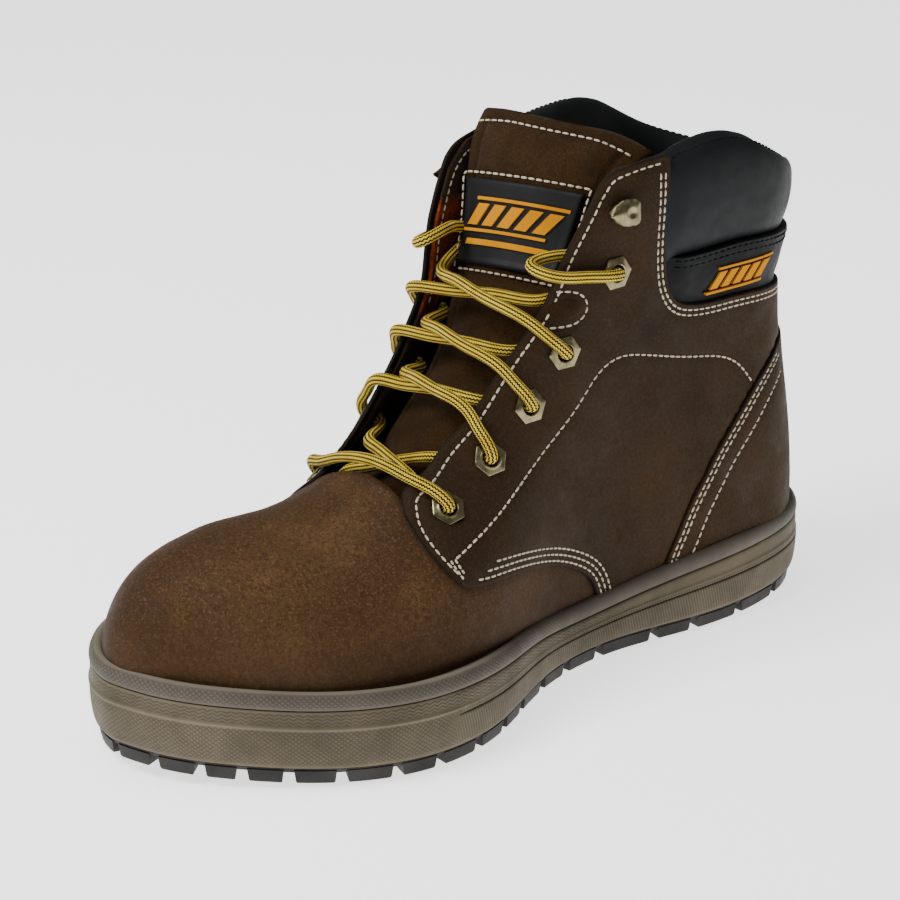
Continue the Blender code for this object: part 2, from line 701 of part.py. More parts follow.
def extruded(name, outline, half, slot, matrix):
    """A closed (x, z) outline run from -half to half along local Y."""
    p = np.array(outline, float)
    count = len(p)
    near = np.stack([p[:, 0], np.full(count, -half), p[:, 1]], -1)
    far = np.stack([p[:, 0], np.full(count, half), p[:, 1]], -1)
    faces = [tuple(range(count)), tuple(range(2 * count - 1, count - 1, -1))]
    for j in range(count):
        k = (j + 1) % count
        faces.append((k, j, j + count, k + count))
    made = add_object(name, np.vstack([near, far]), faces, slot)
    made.matrix_world = matrix
    return made


def band(path, thickness):
    """A closed outline of a strip of even thickness along a path."""
    p = np.array(path, float)
    run = np.gradient(p, axis=0)
    run /= np.linalg.norm(run, axis=1)[:, None]
    off = np.stack([-run[:, 1], run[:, 0]], -1) * thickness / 2
    return np.vstack([p + off, (p - off)[::-1]])


def make_hook(side, tag):
    """A speed hook: a base on the leather, bent up at the rear and over to the front."""
    seat = seat_matrix(*HOOK, side) @ Matrix.Rotation(math.pi / 2 * side, 4, "Z")
    path = smooth([(5, 1.3), (-2, 1.3), (-5.3, 2.4), (-5.3, 4.8), (-2, 6.2), (3.5, 6.6), (6.2, 8.0)], 14)
    extruded("hook_" + tag, band(path, 1.0)[::-1], 4.2, "antique_brass", seat)
    head = ((3.4, -5.4), (3.4, -4.6), (1.6, -4.4), (1.6, 0.45))
    seat = seat_matrix(*HOOK, side)
    count = 12
    points = []
    for radius, height in head:
        for j in range(count):
            a = 2 * math.pi * j / count
            points.append((radius * math.cos(a), radius * math.sin(a), height))
    rows = len(head)
    faces = [tuple(range(count))[::-1], tuple(range((rows - 1) * count, rows * count))]
    faces += wall_faces(rows, count, flip=True)
    made = add_object("hook_rivet_" + tag, points, faces, "antique_brass")
    made.matrix_world = seat


# ---------------------------------------------------------------- the tongue

TONGUE_LINE = smooth([(226, 61), (212, 70.5), (197, 81.5), (182.5, 93.5), (169, 106.5), (158, 120),
                      (148.5, 135), (141, 150), (136.5, 164), (133, 177), (127.5, 188), (119, 197)], 18)
TONGUE_HALF = profile([(0, 22), (0.3, 22), (0.6, 22.5), (0.78, 24), (0.88, 28), (1, 32.5)])


def tongue_grid(columns=9, low=0.0, high=1.0, left=-1.0, right=1.0, rows=18):
    """Front surface of the tongue: rows go up it, columns across it."""
    share = np.linspace(low, high, rows)
    line_share = np.linspace(0, 1, len(TONGUE_LINE))
    s = np.interp(share, line_share, TONGUE_LINE[:, 0])[:, None]
    z = np.interp(share, line_share, TONGUE_LINE[:, 1])[:, None]
    across = np.linspace(left, right, columns)[None, :]
    x = across * TONGUE_HALF(share)[:, None]
    turn = 0.32 * ease((share - 0.3) / 0.5)[:, None]
    bow = 5.5 * across ** 2
    corner = 5.0 * np.clip((np.abs(across) - 0.5) / 0.5, 0, 1) ** 2 * ease((share[:, None] - 0.9) / 0.1)
    return world(s - turn * (x + 14) - bow * 0.9, x, z - bow * 0.45 - corner)


def make_tongue(axis):
    grid = tongue_grid()
    thick_sheet("tongue", grid, (0, 1.8), "suede", axis)
    thick_sheet("tongue_foam", tongue_grid(7, 0.06, 0.97, -0.94, 0.94, 12), (2.5, 6.0), "foam", axis)
    thick_sheet("tongue_lining", tongue_grid(7, 0.06, 0.97, -0.94, 0.94, 12), (6.9, 7.9), "black_fabric",
                axis)
    thick_sheet("tongue_label", tongue_grid(5, 0.68, 0.88, -0.78, 0.62, 5), (-1.6, -0.4),
                "black_synthetic", axis)
    thick_sheet("label_emblem", tongue_grid(5, 0.72, 0.84, -0.6, 0.44, 4), (-2.6, -1.9),
                "yellow_rubber", axis)


# ---------------------------------------------------------------- the lace

# Where a strand passes over and under the eyestay's edge, by eyelet, as (s, z).
OVER_EDGE = ((208, 88), (182, 107.5), (168.5, 121.5), (156.5, 136), (147.5, 152))
UNDER_EDGE = ((205.5, 89.6), (195, 96.8), (176.5, 112), (163.5, 127), (151, 143))
OVER_HEIGHT = -3.0       # depth of a strand over the edge: outside the leather
HOLE_TOP = -4.6          # depth at the top of the bend out of an eyelet


def inward_step(side, eyelet, edge, share):
    s = eyelet[0] + (edge[0] - eyelet[0]) * share
    z = eyelet[1] + (edge[1] - eyelet[1]) * share
    return s, z


def strand(start, end, lift):
    """A strand out over one eyestay, across the tongue and up through the next eyelet.

    start and end are (side, eyelet number); lift raises the middle off the tongue.
    """
    side_a, a = start
    side_b, b = end
    points = [on_upper(*EYELETS[a], side_a, depth)[0] for depth in (2.0, -0.5, -2.6)]
    s, z = inward_step(side_a, EYELETS[a], OVER_EDGE[a], 0.18)
    points.append(on_upper(s, z, side_a, HOLE_TOP)[0])
    s, z = inward_step(side_a, EYELETS[a], OVER_EDGE[a], 0.6)
    points.append(on_upper(s, z, side_a, HOLE_TOP + 0.8)[0])
    points.append(on_upper(*OVER_EDGE[a], side_a, OVER_HEIGHT)[0])
    return points + crossing(points[-1], on_upper(*UNDER_EDGE[b], side_b, LACE_DEPTH)[0], lift)


def crossing(first, last, lift):
    """Points between the two edges, bowed outwards from the tongue by lift."""
    steep = ease((np.mean([first[2], last[2]]) - 85) / 70)
    outward = np.array([0, -(0.66 + 0.24 * steep), 0.75 - 0.3 * steep])
    middle = []
    for share in (0.3, 0.5, 0.7):
        spot = first + (last - first) * share
        middle.append(spot + outward * lift * (1 - (2 * share - 1) ** 2))
    return middle + [last]


def into_eyelet(side, number):
    """From under the eyestay's edge to the underside of an eyelet."""
    s, z = inward_step(side, EYELETS[number], UNDER_EDGE[number], 0.3)
    return [on_upper(s, z, side, LACE_DEPTH + 0.3)[0], on_upper(*EYELETS[number], side, 4.6)[0]]


LACE_STEP = 14.0         # longest straight stretch of the tube
LACE_BEND = 0.55         # most that it turns from one stretch to the next, in radians
NEAR_LIFT = 7.5
FAR_LIFT = 1.5


def half_run(stops):
    """From the underside of the lowest eyelet opposite stops[0] to the last eyelet."""
    side, number = stops[0]
    start_side = -side
    first = on_upper(*UNDER_EDGE[0], start_side, LACE_DEPTH)[0]
    under_s, under_z = inward_step(start_side, EYELETS[0], UNDER_EDGE[0], 0.3)
    points = [on_upper(*EYELETS[0], start_side, 4.6)[0],
              on_upper(under_s, under_z, start_side, LACE_DEPTH + 0.3)[0], first]
    lift = 4.5 if start_side > 0 else 0.5
    points += crossing(first, on_upper(*UNDER_EDGE[1], side, LACE_DEPTH)[0], lift)
    points += into_eyelet(side, number)
    for here, there in zip(stops, stops[1:]):
        points += strand(here, there, NEAR_LIFT if here[0] > 0 else FAR_LIFT)
        points += into_eyelet(*there)
    side, number = stops[-1]
    points += [on_upper(*EYELETS[number], side, depth)[0] for depth in (2.0, -0.5, -2.6)]
    s, z = inward_step(side, EYELETS[number], OVER_EDGE[number], 0.18)
    points.append(on_upper(s, z, side, HOLE_TOP)[0])
    s, z = inward_step(side, EYELETS[number], OVER_EDGE[number], 0.6)
    points.append(on_upper(s, z, side, HOLE_TOP + 0.8)[0])
    points.append(on_upper(*OVER_EDGE[number], side, OVER_HEIGHT)[0])
    return points


def tucked_end(side):
    """Round the eyestay's edge and back along the inside of the shaft."""
    s, z = OVER_EDGE[-1]
    points = [on_upper(s + 3.5, z + 3.5, side, 1.5)[0] + np.array([0, -2.5, 0]),
              on_upper(s - 1.5, z + 6.0, side, 7.2)[0]]
    for back_s, height, depth in ((138, 157, 7.8), (128, 154, 8.6), (116, 150, 8.8), (104, 146, 8.8),
                                  (92, 142, 9.4), (80, 138, 10.6)):
        points.append(on_upper(back_s, height, side, depth)[0])
    return points


def bottom_bar():
    """From eyelet to eyelet at the bottom, over both edges."""
    points = []
    for side in (1, -1):
        run = [on_upper(*EYELETS[0], side, depth)[0] for depth in (2.0, -0.5, -2.6)]
        s, z = inward_step(side, EYELETS[0], OVER_EDGE[0], 0.2)
        run.append(on_upper(s, z, side, HOLE_TOP)[0])
        run.append(on_upper(*OVER_EDGE[0], side, OVER_HEIGHT - 0.6)[0])
        points.append(run)
    first, second = points
    middle = crossing(first[-1], second[-1], 6.5)[:-1]
    return first + middle + second[::-1]


def make_lace():
    upper_half = [(-1, 1), (1, 2), (-1, 3), (1, 4)]
    lower_half = [(1, 1), (-1, 2), (1, 3), (-1, 4)]
    from_lateral = half_run(upper_half) + tucked_end(1)
    from_medial = half_run(lower_half) + tucked_end(-1)
    route = from_lateral[::-1] + bottom_bar() + from_medial
    route = np.array(route)
    dense = smooth(route, 4000)
    steps = np.diff(dense, axis=0)
    length = np.linalg.norm(steps, axis=1)
    along = steps / length[:, None]
    bend = np.linalg.norm(np.diff(along, axis=0), axis=1)
    cost = np.concatenate([[0], length]) / LACE_STEP + np.concatenate([[0, 0], bend]) / LACE_BEND
    travelled = np.cumsum(cost)
    count = int(travelled[-1]) + 2
    marks = np.linspace(0, travelled[-1], count)
    path = np.stack([np.interp(marks, travelled, dense[:, k]) for k in range(3)], -1)
    curve = bpy.data.curves.new("lace", "CURVE")
    curve.dimensions = "3D"
    curve.bevel_depth = LACE_RADIUS * MM
    curve.bevel_resolution = 1
    curve.use_fill_caps = True
    curve.resolution_u = 1
    curve.render_resolution_u = 0
    spline = curve.splines.new("POLY")
    spline.points.add(count - 1)
    for point, spot in zip(spline.points, path):
        point.co = (*(spot * MM), 1)
    curve.materials.append(material("lace_yellow"))
    made = bpy.data.objects.new("lace", curve)
    bpy.context.scene.collection.objects.link(made)
    for name, end, inner in (("aglet_a", path[0], path[2]), ("aglet_b", path[-1], path[-3])):
        make_aglet(name, end, end - inner)


def make_aglet(name, end, direction):
    axis = Vector(direction).normalized()
    start = Vector(end) + axis * GAP
    matrix = Matrix.Translation(start * MM) @ axis.to_track_quat("Z", "Y").to_matrix().to_4x4()
    count = 10
    points = []
    for radius, height in ((1.9, 0), (2.0, 1), (1.9, 18), (1.3, 20)):
        for j in range(count):
            a = 2 * math.pi * j / count
            points.append((radius * math.cos(a), radius * math.sin(a), height))
    faces = [tuple(range(count))[::-1], tuple(range(3 * count, 4 * count))]
    faces += wall_faces(4, count, flip=True)
    made = add_object(name, points, faces, "black_rubber")
    made.matrix_world = matrix


# ---------------------------------------------------------------- the boot

TONGUE_AXIS = (222.0, 0.0, 66.0)
FOOTBED_AXIS = (304.5, 0.0, 25.6)


def pivot(name, place):
    made = bpy.data.objects.new(name, None)
    made.location = Vector(world(*place)) * MM
    bpy.context.scene.collection.objects.link(made)
    return made


def main():
    for old in list(bpy.data.objects):
        bpy.data.objects.remove(old)
    tongue_axis = pivot("tongue_axis", TONGUE_AXIS)
    footbed_axis = pivot("footbed_axis", FOOTBED_AXIS)
    hollow = make_foot_hollow()
    make_outsole()
    make_cupsole(hollow)
    make_upper_rim(hollow)
    make_inner_sole(footbed_axis)
    make_vamp()
    make_heel_and_back()
    make_collar()
    make_stiffeners()
    make_linings()
    for side, tag in ((1, "lateral"), (-1, "medial")):
        make_quarter(side, tag)
        make_eyelets(side, tag)
        make_hook(side, tag)
    make_tongue(tongue_axis)
    make_lace()


main()
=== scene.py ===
"""Looks of a left work boot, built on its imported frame.

Lengths are in millimetres in boot coordinates, as in the frame's design: s runs forward
from the back of the heel, x sideways from the heel's centre line, z up. Meshes are
written in metres. Panels of the upper are drawn in the side view as (s, z), and are laid
on the last's surface in a flat chart (a, z), where a is the distance round the boot from
the back seam at that level: positive on the lateral side, negative on the medial side.
"""

import math

import bpy
import numpy as np
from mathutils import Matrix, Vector
from mathutils.geometry import delaunay_2d_cdt

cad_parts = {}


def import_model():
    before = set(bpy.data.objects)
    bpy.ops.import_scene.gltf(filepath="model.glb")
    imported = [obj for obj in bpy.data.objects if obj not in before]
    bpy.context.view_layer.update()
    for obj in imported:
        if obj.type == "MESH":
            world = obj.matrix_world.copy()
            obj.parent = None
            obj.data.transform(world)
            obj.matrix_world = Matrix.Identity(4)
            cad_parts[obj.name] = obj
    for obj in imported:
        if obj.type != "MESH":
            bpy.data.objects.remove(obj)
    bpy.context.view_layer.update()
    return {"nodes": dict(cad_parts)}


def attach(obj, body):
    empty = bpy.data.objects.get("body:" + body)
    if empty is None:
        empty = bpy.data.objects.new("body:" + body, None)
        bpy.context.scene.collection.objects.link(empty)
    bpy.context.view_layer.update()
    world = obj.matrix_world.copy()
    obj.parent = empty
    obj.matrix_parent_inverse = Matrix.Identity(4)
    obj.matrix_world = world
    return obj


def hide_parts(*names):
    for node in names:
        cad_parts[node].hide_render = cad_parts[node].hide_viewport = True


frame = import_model()

MM = 0.001
HEEL_LINE = -3.1         # world x of the heel's centre line
LENGTH = 316.0           # of the sole
TOE_SPRING = 5.6         # rise of the sole at the toe
SPRING_START = 225.0     # s where that rise begins
UPPER_ZERO = 20.0        # z of the upper's lower edge, hidden in the cup
TOE_TIP = 313.0          # s of the upper's front
TOE_SHIFT = -8.0         # how far the toe turns to the medial side
FLAP_LEAN = 12.0         # forward lean of the medial flap at its top
THROAT_DROP = 8.0        # how far the instep sinks on its medial side
LATERAL, MEDIAL = 1, -1


# ---------------------------------------------------------------- curves

def smooth(points, count=400):
    """Points along the natural cubic spline through points, by chord length."""
    p = np.array(points, float)
    knots = travelled(p)
    step = np.diff(knots)
    n = len(p)
    matrix = np.eye(n)
    right = np.zeros_like(p)
    for i in range(1, n - 1):
        matrix[i, i - 1:i + 2] = step[i - 1], 2 * (step[i - 1] + step[i]), step[i]
        right[i] = 6 * ((p[i + 1] - p[i]) / step[i] - (p[i] - p[i - 1]) / step[i - 1])
    second = np.linalg.solve(matrix, right)
    t = np.linspace(0, knots[-1], count)
    k = np.clip(np.searchsorted(knots, t, side="right") - 1, 0, n - 2)
    h = step[k][:, None]
    a = (knots[k + 1] - t)[:, None]
    b = (t - knots[k])[:, None]
    bend = (second[k] * a ** 3 + second[k + 1] * b ** 3) / (6 * h)
    return bend + (p[k] / h - second[k] * h / 6) * a + (p[k + 1] / h - second[k + 1] * h / 6) * b


def profile(points):
    """A smooth function through points, which must rise in their first number."""
    curve = smooth(points)
    return lambda value: np.interp(value, curve[:, 0], curve[:, 1])


def ease(t):
    """A smooth step from 0 at t = 0 to 1 at t = 1."""
    t = np.clip(t, 0, 1)
    return t * t * (3 - 2 * t)


def rising(value, low, high):
    """A smooth step from 0 where value is low to 1 where it is high."""
    return ease((value - low) / (high - low))


def bell(value, middle, width):
    """1 where value is in the middle, falling to 0 on both sides of it."""
    return np.exp(-((value - middle) / width) ** 2)


def unit(vectors):
    """Vectors scaled to length 1."""
    vectors = np.asarray(vectors, float)
    return vectors / np.maximum(np.linalg.norm(vectors, axis=-1, keepdims=True), 1e-9)


def travelled(points):
    """Distance along a polyline at each of its points."""
    return np.concatenate([[0], np.cumsum(np.linalg.norm(np.diff(points, axis=0), axis=1))])


def at_distances(points, marks):
    """Points at given distances along a polyline."""
    length = travelled(points)
    return np.stack([np.interp(marks, length, points[:, k]) for k in range(points.shape[1])], -1)


def evenly(points, count):
    """A number of evenly spaced points along a polyline."""
    return at_distances(points, np.linspace(0, travelled(points)[-1], count))


def resample(points, step):
    """Points at even steps along a polyline."""
    points = np.array(points, float)
    return evenly(points, max(int(round(travelled(points)[-1] / step)), 2) + 1)


def keep_corners(points, step):
    """A closed polyline with points at even steps, corners kept."""
    p = np.array(points, float)
    runs = []
    for a, b in zip(p, np.roll(p, -1, axis=0)):
        count = max(int(round(np.linalg.norm(b - a) / step)), 1)
        share = np.linspace(0, 1, count, endpoint=False)[:, None]
        runs.append(a + (b - a) * share)
    return np.vstack(runs)


# ---------------------------------------------------------------- the last's surface

back_edge = profile([(10, 8), (34, 5), (60, 7), (90, 12), (120, 16), (145, 16.5),
                     (165, 15), (190, 16), (220, 20)])
RIDGE = smooth([(60, 330), (95, 265), (120, 225), (136, 204), (146, 186), (153, 168), (163, 151),
                (178, 129), (192, 111), (206, 97), (220, 86), (235, 79.5), (250, 76.5),
                (265, 74.5), (280, 71.5), (294, 65.5), (305, 56), (311, 44), (313, 30)])
lateral_plan = profile([(0, 31), (20, 37), (50, 39.5), (85, 38.5), (120, 34.5), (155, 39),
                        (190, 53), (220, 60), (250, 57), (280, 46), (312, 26)])
medial_plan = profile([(0, 31), (20, 37), (50, 38.5), (85, 34), (120, 29.5), (155, 33),
                       (190, 43), (220, 49), (250, 50), (280, 48), (312, 40)])
lateral_shaft = profile([(20, 37), (50, 37), (80, 36), (105, 36), (130, 37.5), (160, 40.5),
                         (180, 43), (200, 44), (220, 44)])
medial_shaft = profile([(20, 37), (50, 37), (80, 36), (105, 36), (130, 38), (160, 41.5),
                        (180, 45.5), (200, 47.5), (220, 48)])


def ridge(s):
    """Height of the upper's middle line at s."""
    return np.interp(s, RIDGE[:, 0], RIDGE[:, 1])


def ridge_front(z):
    """s of the upper's front at a level."""
    return np.interp(z, RIDGE[::-1, 1], RIDGE[::-1, 0])


def spring(s):
    """Rise of the sole towards the toe."""
    return TOE_SPRING * (np.clip(s - SPRING_START, 0, None) / (LENGTH - SPRING_START)) ** 2


def centre(s):
    """x of the foot's middle line at s, which turns to the medial side."""
    return TOE_SHIFT * np.clip((np.asarray(s, float) - 170) / (TOE_TIP - 170), 0, 1) ** 1.5


def lean(s, z, side):
    """How far the surface leans forward: the top of the medial flap stands more open."""
    forward = FLAP_LEAN * rising(z, 110, 185) * rising(s, 101, 131)
    return np.where(np.asarray(side) > 0, 0.0, forward)


def half_width(s, z, side):
    """Half width on the side given by the sign of side, which may be an array."""
    plan = np.where(np.asarray(side) > 0, lateral_plan(s), medial_plan(s))
    shaft = np.where(np.asarray(side) > 0, lateral_shaft(z), medial_shaft(z))
    lift = rising(z, 60, 120) * ease((235 - s) / 50)
    width = plan * (1 - lift) + shaft * lift
    heel = (1 - np.clip((45 - (s - back_edge(z))) / 45, 0, 1) ** 2.3) ** (1 / 2.1)
    toe = (1 - np.clip((s - (TOE_TIP - 62)) / 62, 0, 1) ** 2.2) ** 0.5
    height = np.clip((z - UPPER_ZERO) / np.maximum(ridge(s) - UPPER_ZERO, 1), 0, 1)
    power = np.interp(s, [100, 150, 200, 250, 300], [5.5, 3.8, 2.6, 2.5, 2.8])
    return width * heel * toe * (1 - height ** power) ** (1 / 2.1)


def world(s, x, z):
    """Boot coordinates in millimetres to world millimetres."""
    s, x, z = np.broadcast_arrays(np.asarray(s, float), x, z)
    return np.stack([x + HEEL_LINE, LENGTH / 2 - s, z], -1)


def on_upper(s, z, side, depth=0.0):
    """A point at a depth under the upper's surface, and the outward normal there."""
    def point(s_, z_):
        return world(s_ + lean(s_, z_, side), centre(s_) + side * half_width(s_, z_, side), z_)
    forward = point(s + 0.5, z) - point(s - 0.5, z)
    upward = point(s, z + 0.5) - point(s, z - 0.5)
    normal = unit(np.cross(upward, forward) * side)
    return point(s, z) - normal * depth, normal


# ---------------------------------------------------------------- the chart

CHART_LOW, CHART_STEP = 14.0, 2.0
CHART_LEVELS = np.arange(CHART_LOW, 212, CHART_STEP)
TURN = np.linspace(0, 1, 241)


def station(turn, z):
    """s at a share of the way round one side, from the back seam to the ridge."""
    back = back_edge(z) + 0.01
    return back + (ridge_front(z) - 0.02 - back) * (1 - np.cos(np.pi * turn)) / 2


def around_table(side):
    """Distance round from the back seam, by level and turn."""
    z = CHART_LEVELS[:, None] + 0 * TURN[None, :]
    s = station(TURN[None, :], z)
    x = side * half_width(s, z, side) + centre(s)
    x[:, 0] = centre(s[:, 0])
    step = np.hypot(np.diff(s, axis=1), np.diff(x, axis=1))
    return np.concatenate([np.zeros((len(z), 1)), np.cumsum(step, axis=1)], axis=1)


AROUND = {side: around_table(side) for side in (LATERAL, MEDIAL)}


def level_rows(table, z):
    """Rows of a table of levels, blended for each z."""
    place = np.clip((z - CHART_LOW) / CHART_STEP, 0, len(CHART_LEVELS) - 1.001)
    k = place.astype(int)
    part = (place - k)[:, None]
    return table[k] * (1 - part) + table[k + 1] * part


def to_chart(points, side):
    """(s, z) in the side view to (a, z) in the chart."""
    p = np.array(points, float).reshape(-1, 2)
    s, z = p[:, 0], p[:, 1]
    back = back_edge(z) + 0.01
    share = np.clip((s - back) / (ridge_front(z) - 0.02 - back), 0, 1)
    place = np.arccos(1 - 2 * share) / np.pi * (len(TURN) - 1)
    rows = level_rows(AROUND[side], z)
    k = np.clip(place.astype(int), 0, len(TURN) - 2)
    index = np.arange(len(p))
    a = rows[index, k] + (rows[index, k + 1] - rows[index, k]) * (place - k)
    return np.stack([side * a, z], -1)


def from_chart(chart):
    """Chart points to points on the surface in world millimetres."""
    a, z = chart[:, 0], chart[:, 1]
    side = np.where(a >= 0, LATERAL, MEDIAL)
    rows = np.where(side[:, None] > 0, level_rows(AROUND[LATERAL], z), level_rows(AROUND[MEDIAL], z))
    distance = np.minimum(np.abs(a), rows[:, -1] - 1e-3)
    k = np.clip((rows < distance[:, None]).sum(axis=1) - 1, 0, len(TURN) - 2)
    index = np.arange(len(a))
    low, high = rows[index, k], rows[index, k + 1]
    turn = (k + (distance - low) / np.maximum(high - low, 1e-6)) / (len(TURN) - 1)
    s = station(turn, z)
    return world(s + lean(s, z, side), centre(s) + side * half_width(s, z, side), z)


def surface(chart):
    """Points and outward normals of the surface at chart points."""
    chart = np.asarray(chart, float)
    across = from_chart(chart + (0.6, 0)) - from_chart(chart - (0.6, 0))
    upward = from_chart(chart + (0, 0.6)) - from_chart(chart - (0, 0.6))
    normal = unit(np.cross(upward, across))
    points = from_chart(chart)
    outward = points - world(ridge_front(chart[:, 1]) * 0.5, 0, chart[:, 1] - 10)
    flip = np.sign(np.sum(normal * outward, axis=1))
    return points, normal * flip[:, None]


# ---------------------------------------------------------------- distances in the plane

def distance_to(points, line, closed=False):
    """Distance of each point to a polyline."""
    a = np.array(line, float)
    b = np.roll(a, -1, axis=0)
    if not closed:
        a, b = a[:-1], b[:-1]
    best = np.full(len(points), 1e9)
    for start in range(0, len(points), 4000):
        block = points[start:start + 4000]
        run = b - a
        offset = block[:, None, :] - a[None]
        along = np.clip((offset * run).sum(-1) / np.maximum((run ** 2).sum(-1), 1e-9), 0, 1)
        nearest = offset - along[..., None] * run
        best[start:start + 4000] = np.sqrt((nearest ** 2).sum(-1).min(axis=1))
    return best


def inside(points, outline):
    """Whether each point lies inside a closed outline."""
    a = np.array(outline, float)
    b = np.roll(a, -1, axis=0)
    x, y = points[:, 0:1], points[:, 1:2]
    crosses = (a[:, 1] > y) != (b[:, 1] > y)
    height = np.where(np.abs(b[:, 1] - a[:, 1]) < 1e-9, 1e-9, b[:, 1] - a[:, 1])
    at = a[:, 0] + (y - a[:, 1]) * (b[:, 0] - a[:, 0]) / height
    return (crosses & (x < at)).sum(axis=1) % 2 == 1


def signed_distance(points, outline):
    """Distance of each point to a closed outline, positive inside it."""
    return distance_to(points, outline, closed=True) * np.where(inside(points, outline), 1, -1)


def beside(line, amount):
    """A polyline moved sideways by amount, to its left when amount is positive."""
    p = np.array(line, float)
    run = unit(np.gradient(p, axis=0))
    return p + np.stack([-run[:, 1], run[:, 0]], -1) * amount


# ---------------------------------------------------------------- noise

def wave_noise(points, size, seed, octaves=3):
    """Smooth noise about -1 to 1 made of sine waves; size is the longest wave in mm."""
    chance = np.random.default_rng(seed)
    total = np.zeros(len(points))
    weight = 1.0
    norm = 0.0
    for _ in range(octaves):
        for _ in range(5):
            heading = unit(chance.normal(size=3))
            phase = chance.uniform(0, 2 * np.pi)
            total += weight * np.sin(points @ heading * 2 * np.pi / size + phase)
        norm += weight * 2.2
        size *= 0.53
        weight *= 0.55
    return total / norm


# ---------------------------------------------------------------- making pieces

def settled(points):
    """Points with the medial side of the instep sunk where the lace pulls it down."""
    points = np.array(points, float)
    s = LENGTH / 2 - points[:, 1]
    along = rising(s, 170, 210) * (1 - rising(s, 208, 260))
    across = ease((centre(s) + 20 - points[:, 0]) / 50)
    points[:, 2] -= THROAT_DROP * along * across * rising(points[:, 2], 42, 68)
    return points


def scene_object(name, data):
    """A new object that is linked to the scene."""
    made = bpy.data.objects.new(name, data)
    bpy.context.scene.collection.objects.link(made)
    return made


def new_piece(name, points, faces, material, body="boot", smooth_faces=True):
    """A piece of the scene from points in world millimetres, riding on a body."""
    mesh = bpy.data.meshes.new(name)
    mesh.from_pydata((settled(points) * MM).tolist(), [], [tuple(map(int, f)) for f in faces])
    mesh.materials.append(material)
    if smooth_faces:
        mesh.shade_smooth()
    piece = scene_object(name, mesh)
    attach(piece, body)
    return piece


def grid_faces(rows, columns):
    """Four-sided faces of a grid of points that is stored row after row."""
    return [(k, k + 1, k + columns + 1, k + columns)
            for r in range(rows - 1) for k in range(r * columns, (r + 1) * columns - 1)]


def closed_sheet(front, rear, faces):
    """Points and faces of the solid between two sheets with the same faces."""
    count = len(front)
    back = [tuple(v + count for v in face[::-1]) for face in faces]
    walls = [(i, i + count, j + count, j) for i, j in boundary_edges(faces)]
    return np.vstack([front, rear]), [*faces, *back, *walls]


def loop_faces(rows, count, closed=False):
    """Four-sided faces between closed loops of points that are stored loop after loop."""
    faces = []
    for r in range(rows if closed else rows - 1):
        above = (r + 1) % rows * count
        for j in range(count):
            k = (j + 1) % count
            faces.append((r * count + k, above + k, above + j, r * count + j))
    return faces


def loop_ends(rows, count):
    """The two faces that close the ends of a stack of loops."""
    return [tuple(range(count))[::-1], tuple(range((rows - 1) * count, rows * count))]


def flipped(faces):
    """Faces turned inside out."""
    return [(face[0], *face[:0:-1]) for face in faces]


def facing_out(faces, points, normals):
    """Faces wound so that they look along the normals, judged by the middle one."""
    face = faces[len(faces) // 2]
    a, b, c = (points[v] for v in face[:3])
    if np.cross(b - a, c - a) @ normals[face[0]] > 0:
        return faces
    return [face[::-1] for face in faces]


def set_attribute(piece, name, values):
    """A number on each point for the material to read, 0 where no value is given."""
    numbers = np.zeros(len(piece.data.vertices), np.float32)
    numbers[:len(values)] = values
    piece.data.attributes.new(name, "FLOAT", "POINT").data.foreach_set("value", numbers)


def triangulated(points, constraints):
    """Points and triangles of a plane triangulation that keeps the given edges."""
    verts, _, faces, _, _, _ = delaunay_2d_cdt([Vector(p) for p in points], constraints, [], 1, 1e-5)
    return np.array([tuple(v) for v in verts]), np.array([tuple(f) for f in faces])


EDGE_STEP = 1.1          # spacing of the points along a panel's edge
EDGE_RINGS = (0.35, 0.8, 1.5)   # distances from the edge of the finer rings of points
ROW_BAND = 1.1           # half width of the finer band along a stitch row
CLOSEST = 0.45           # points nearer to each other than this become one


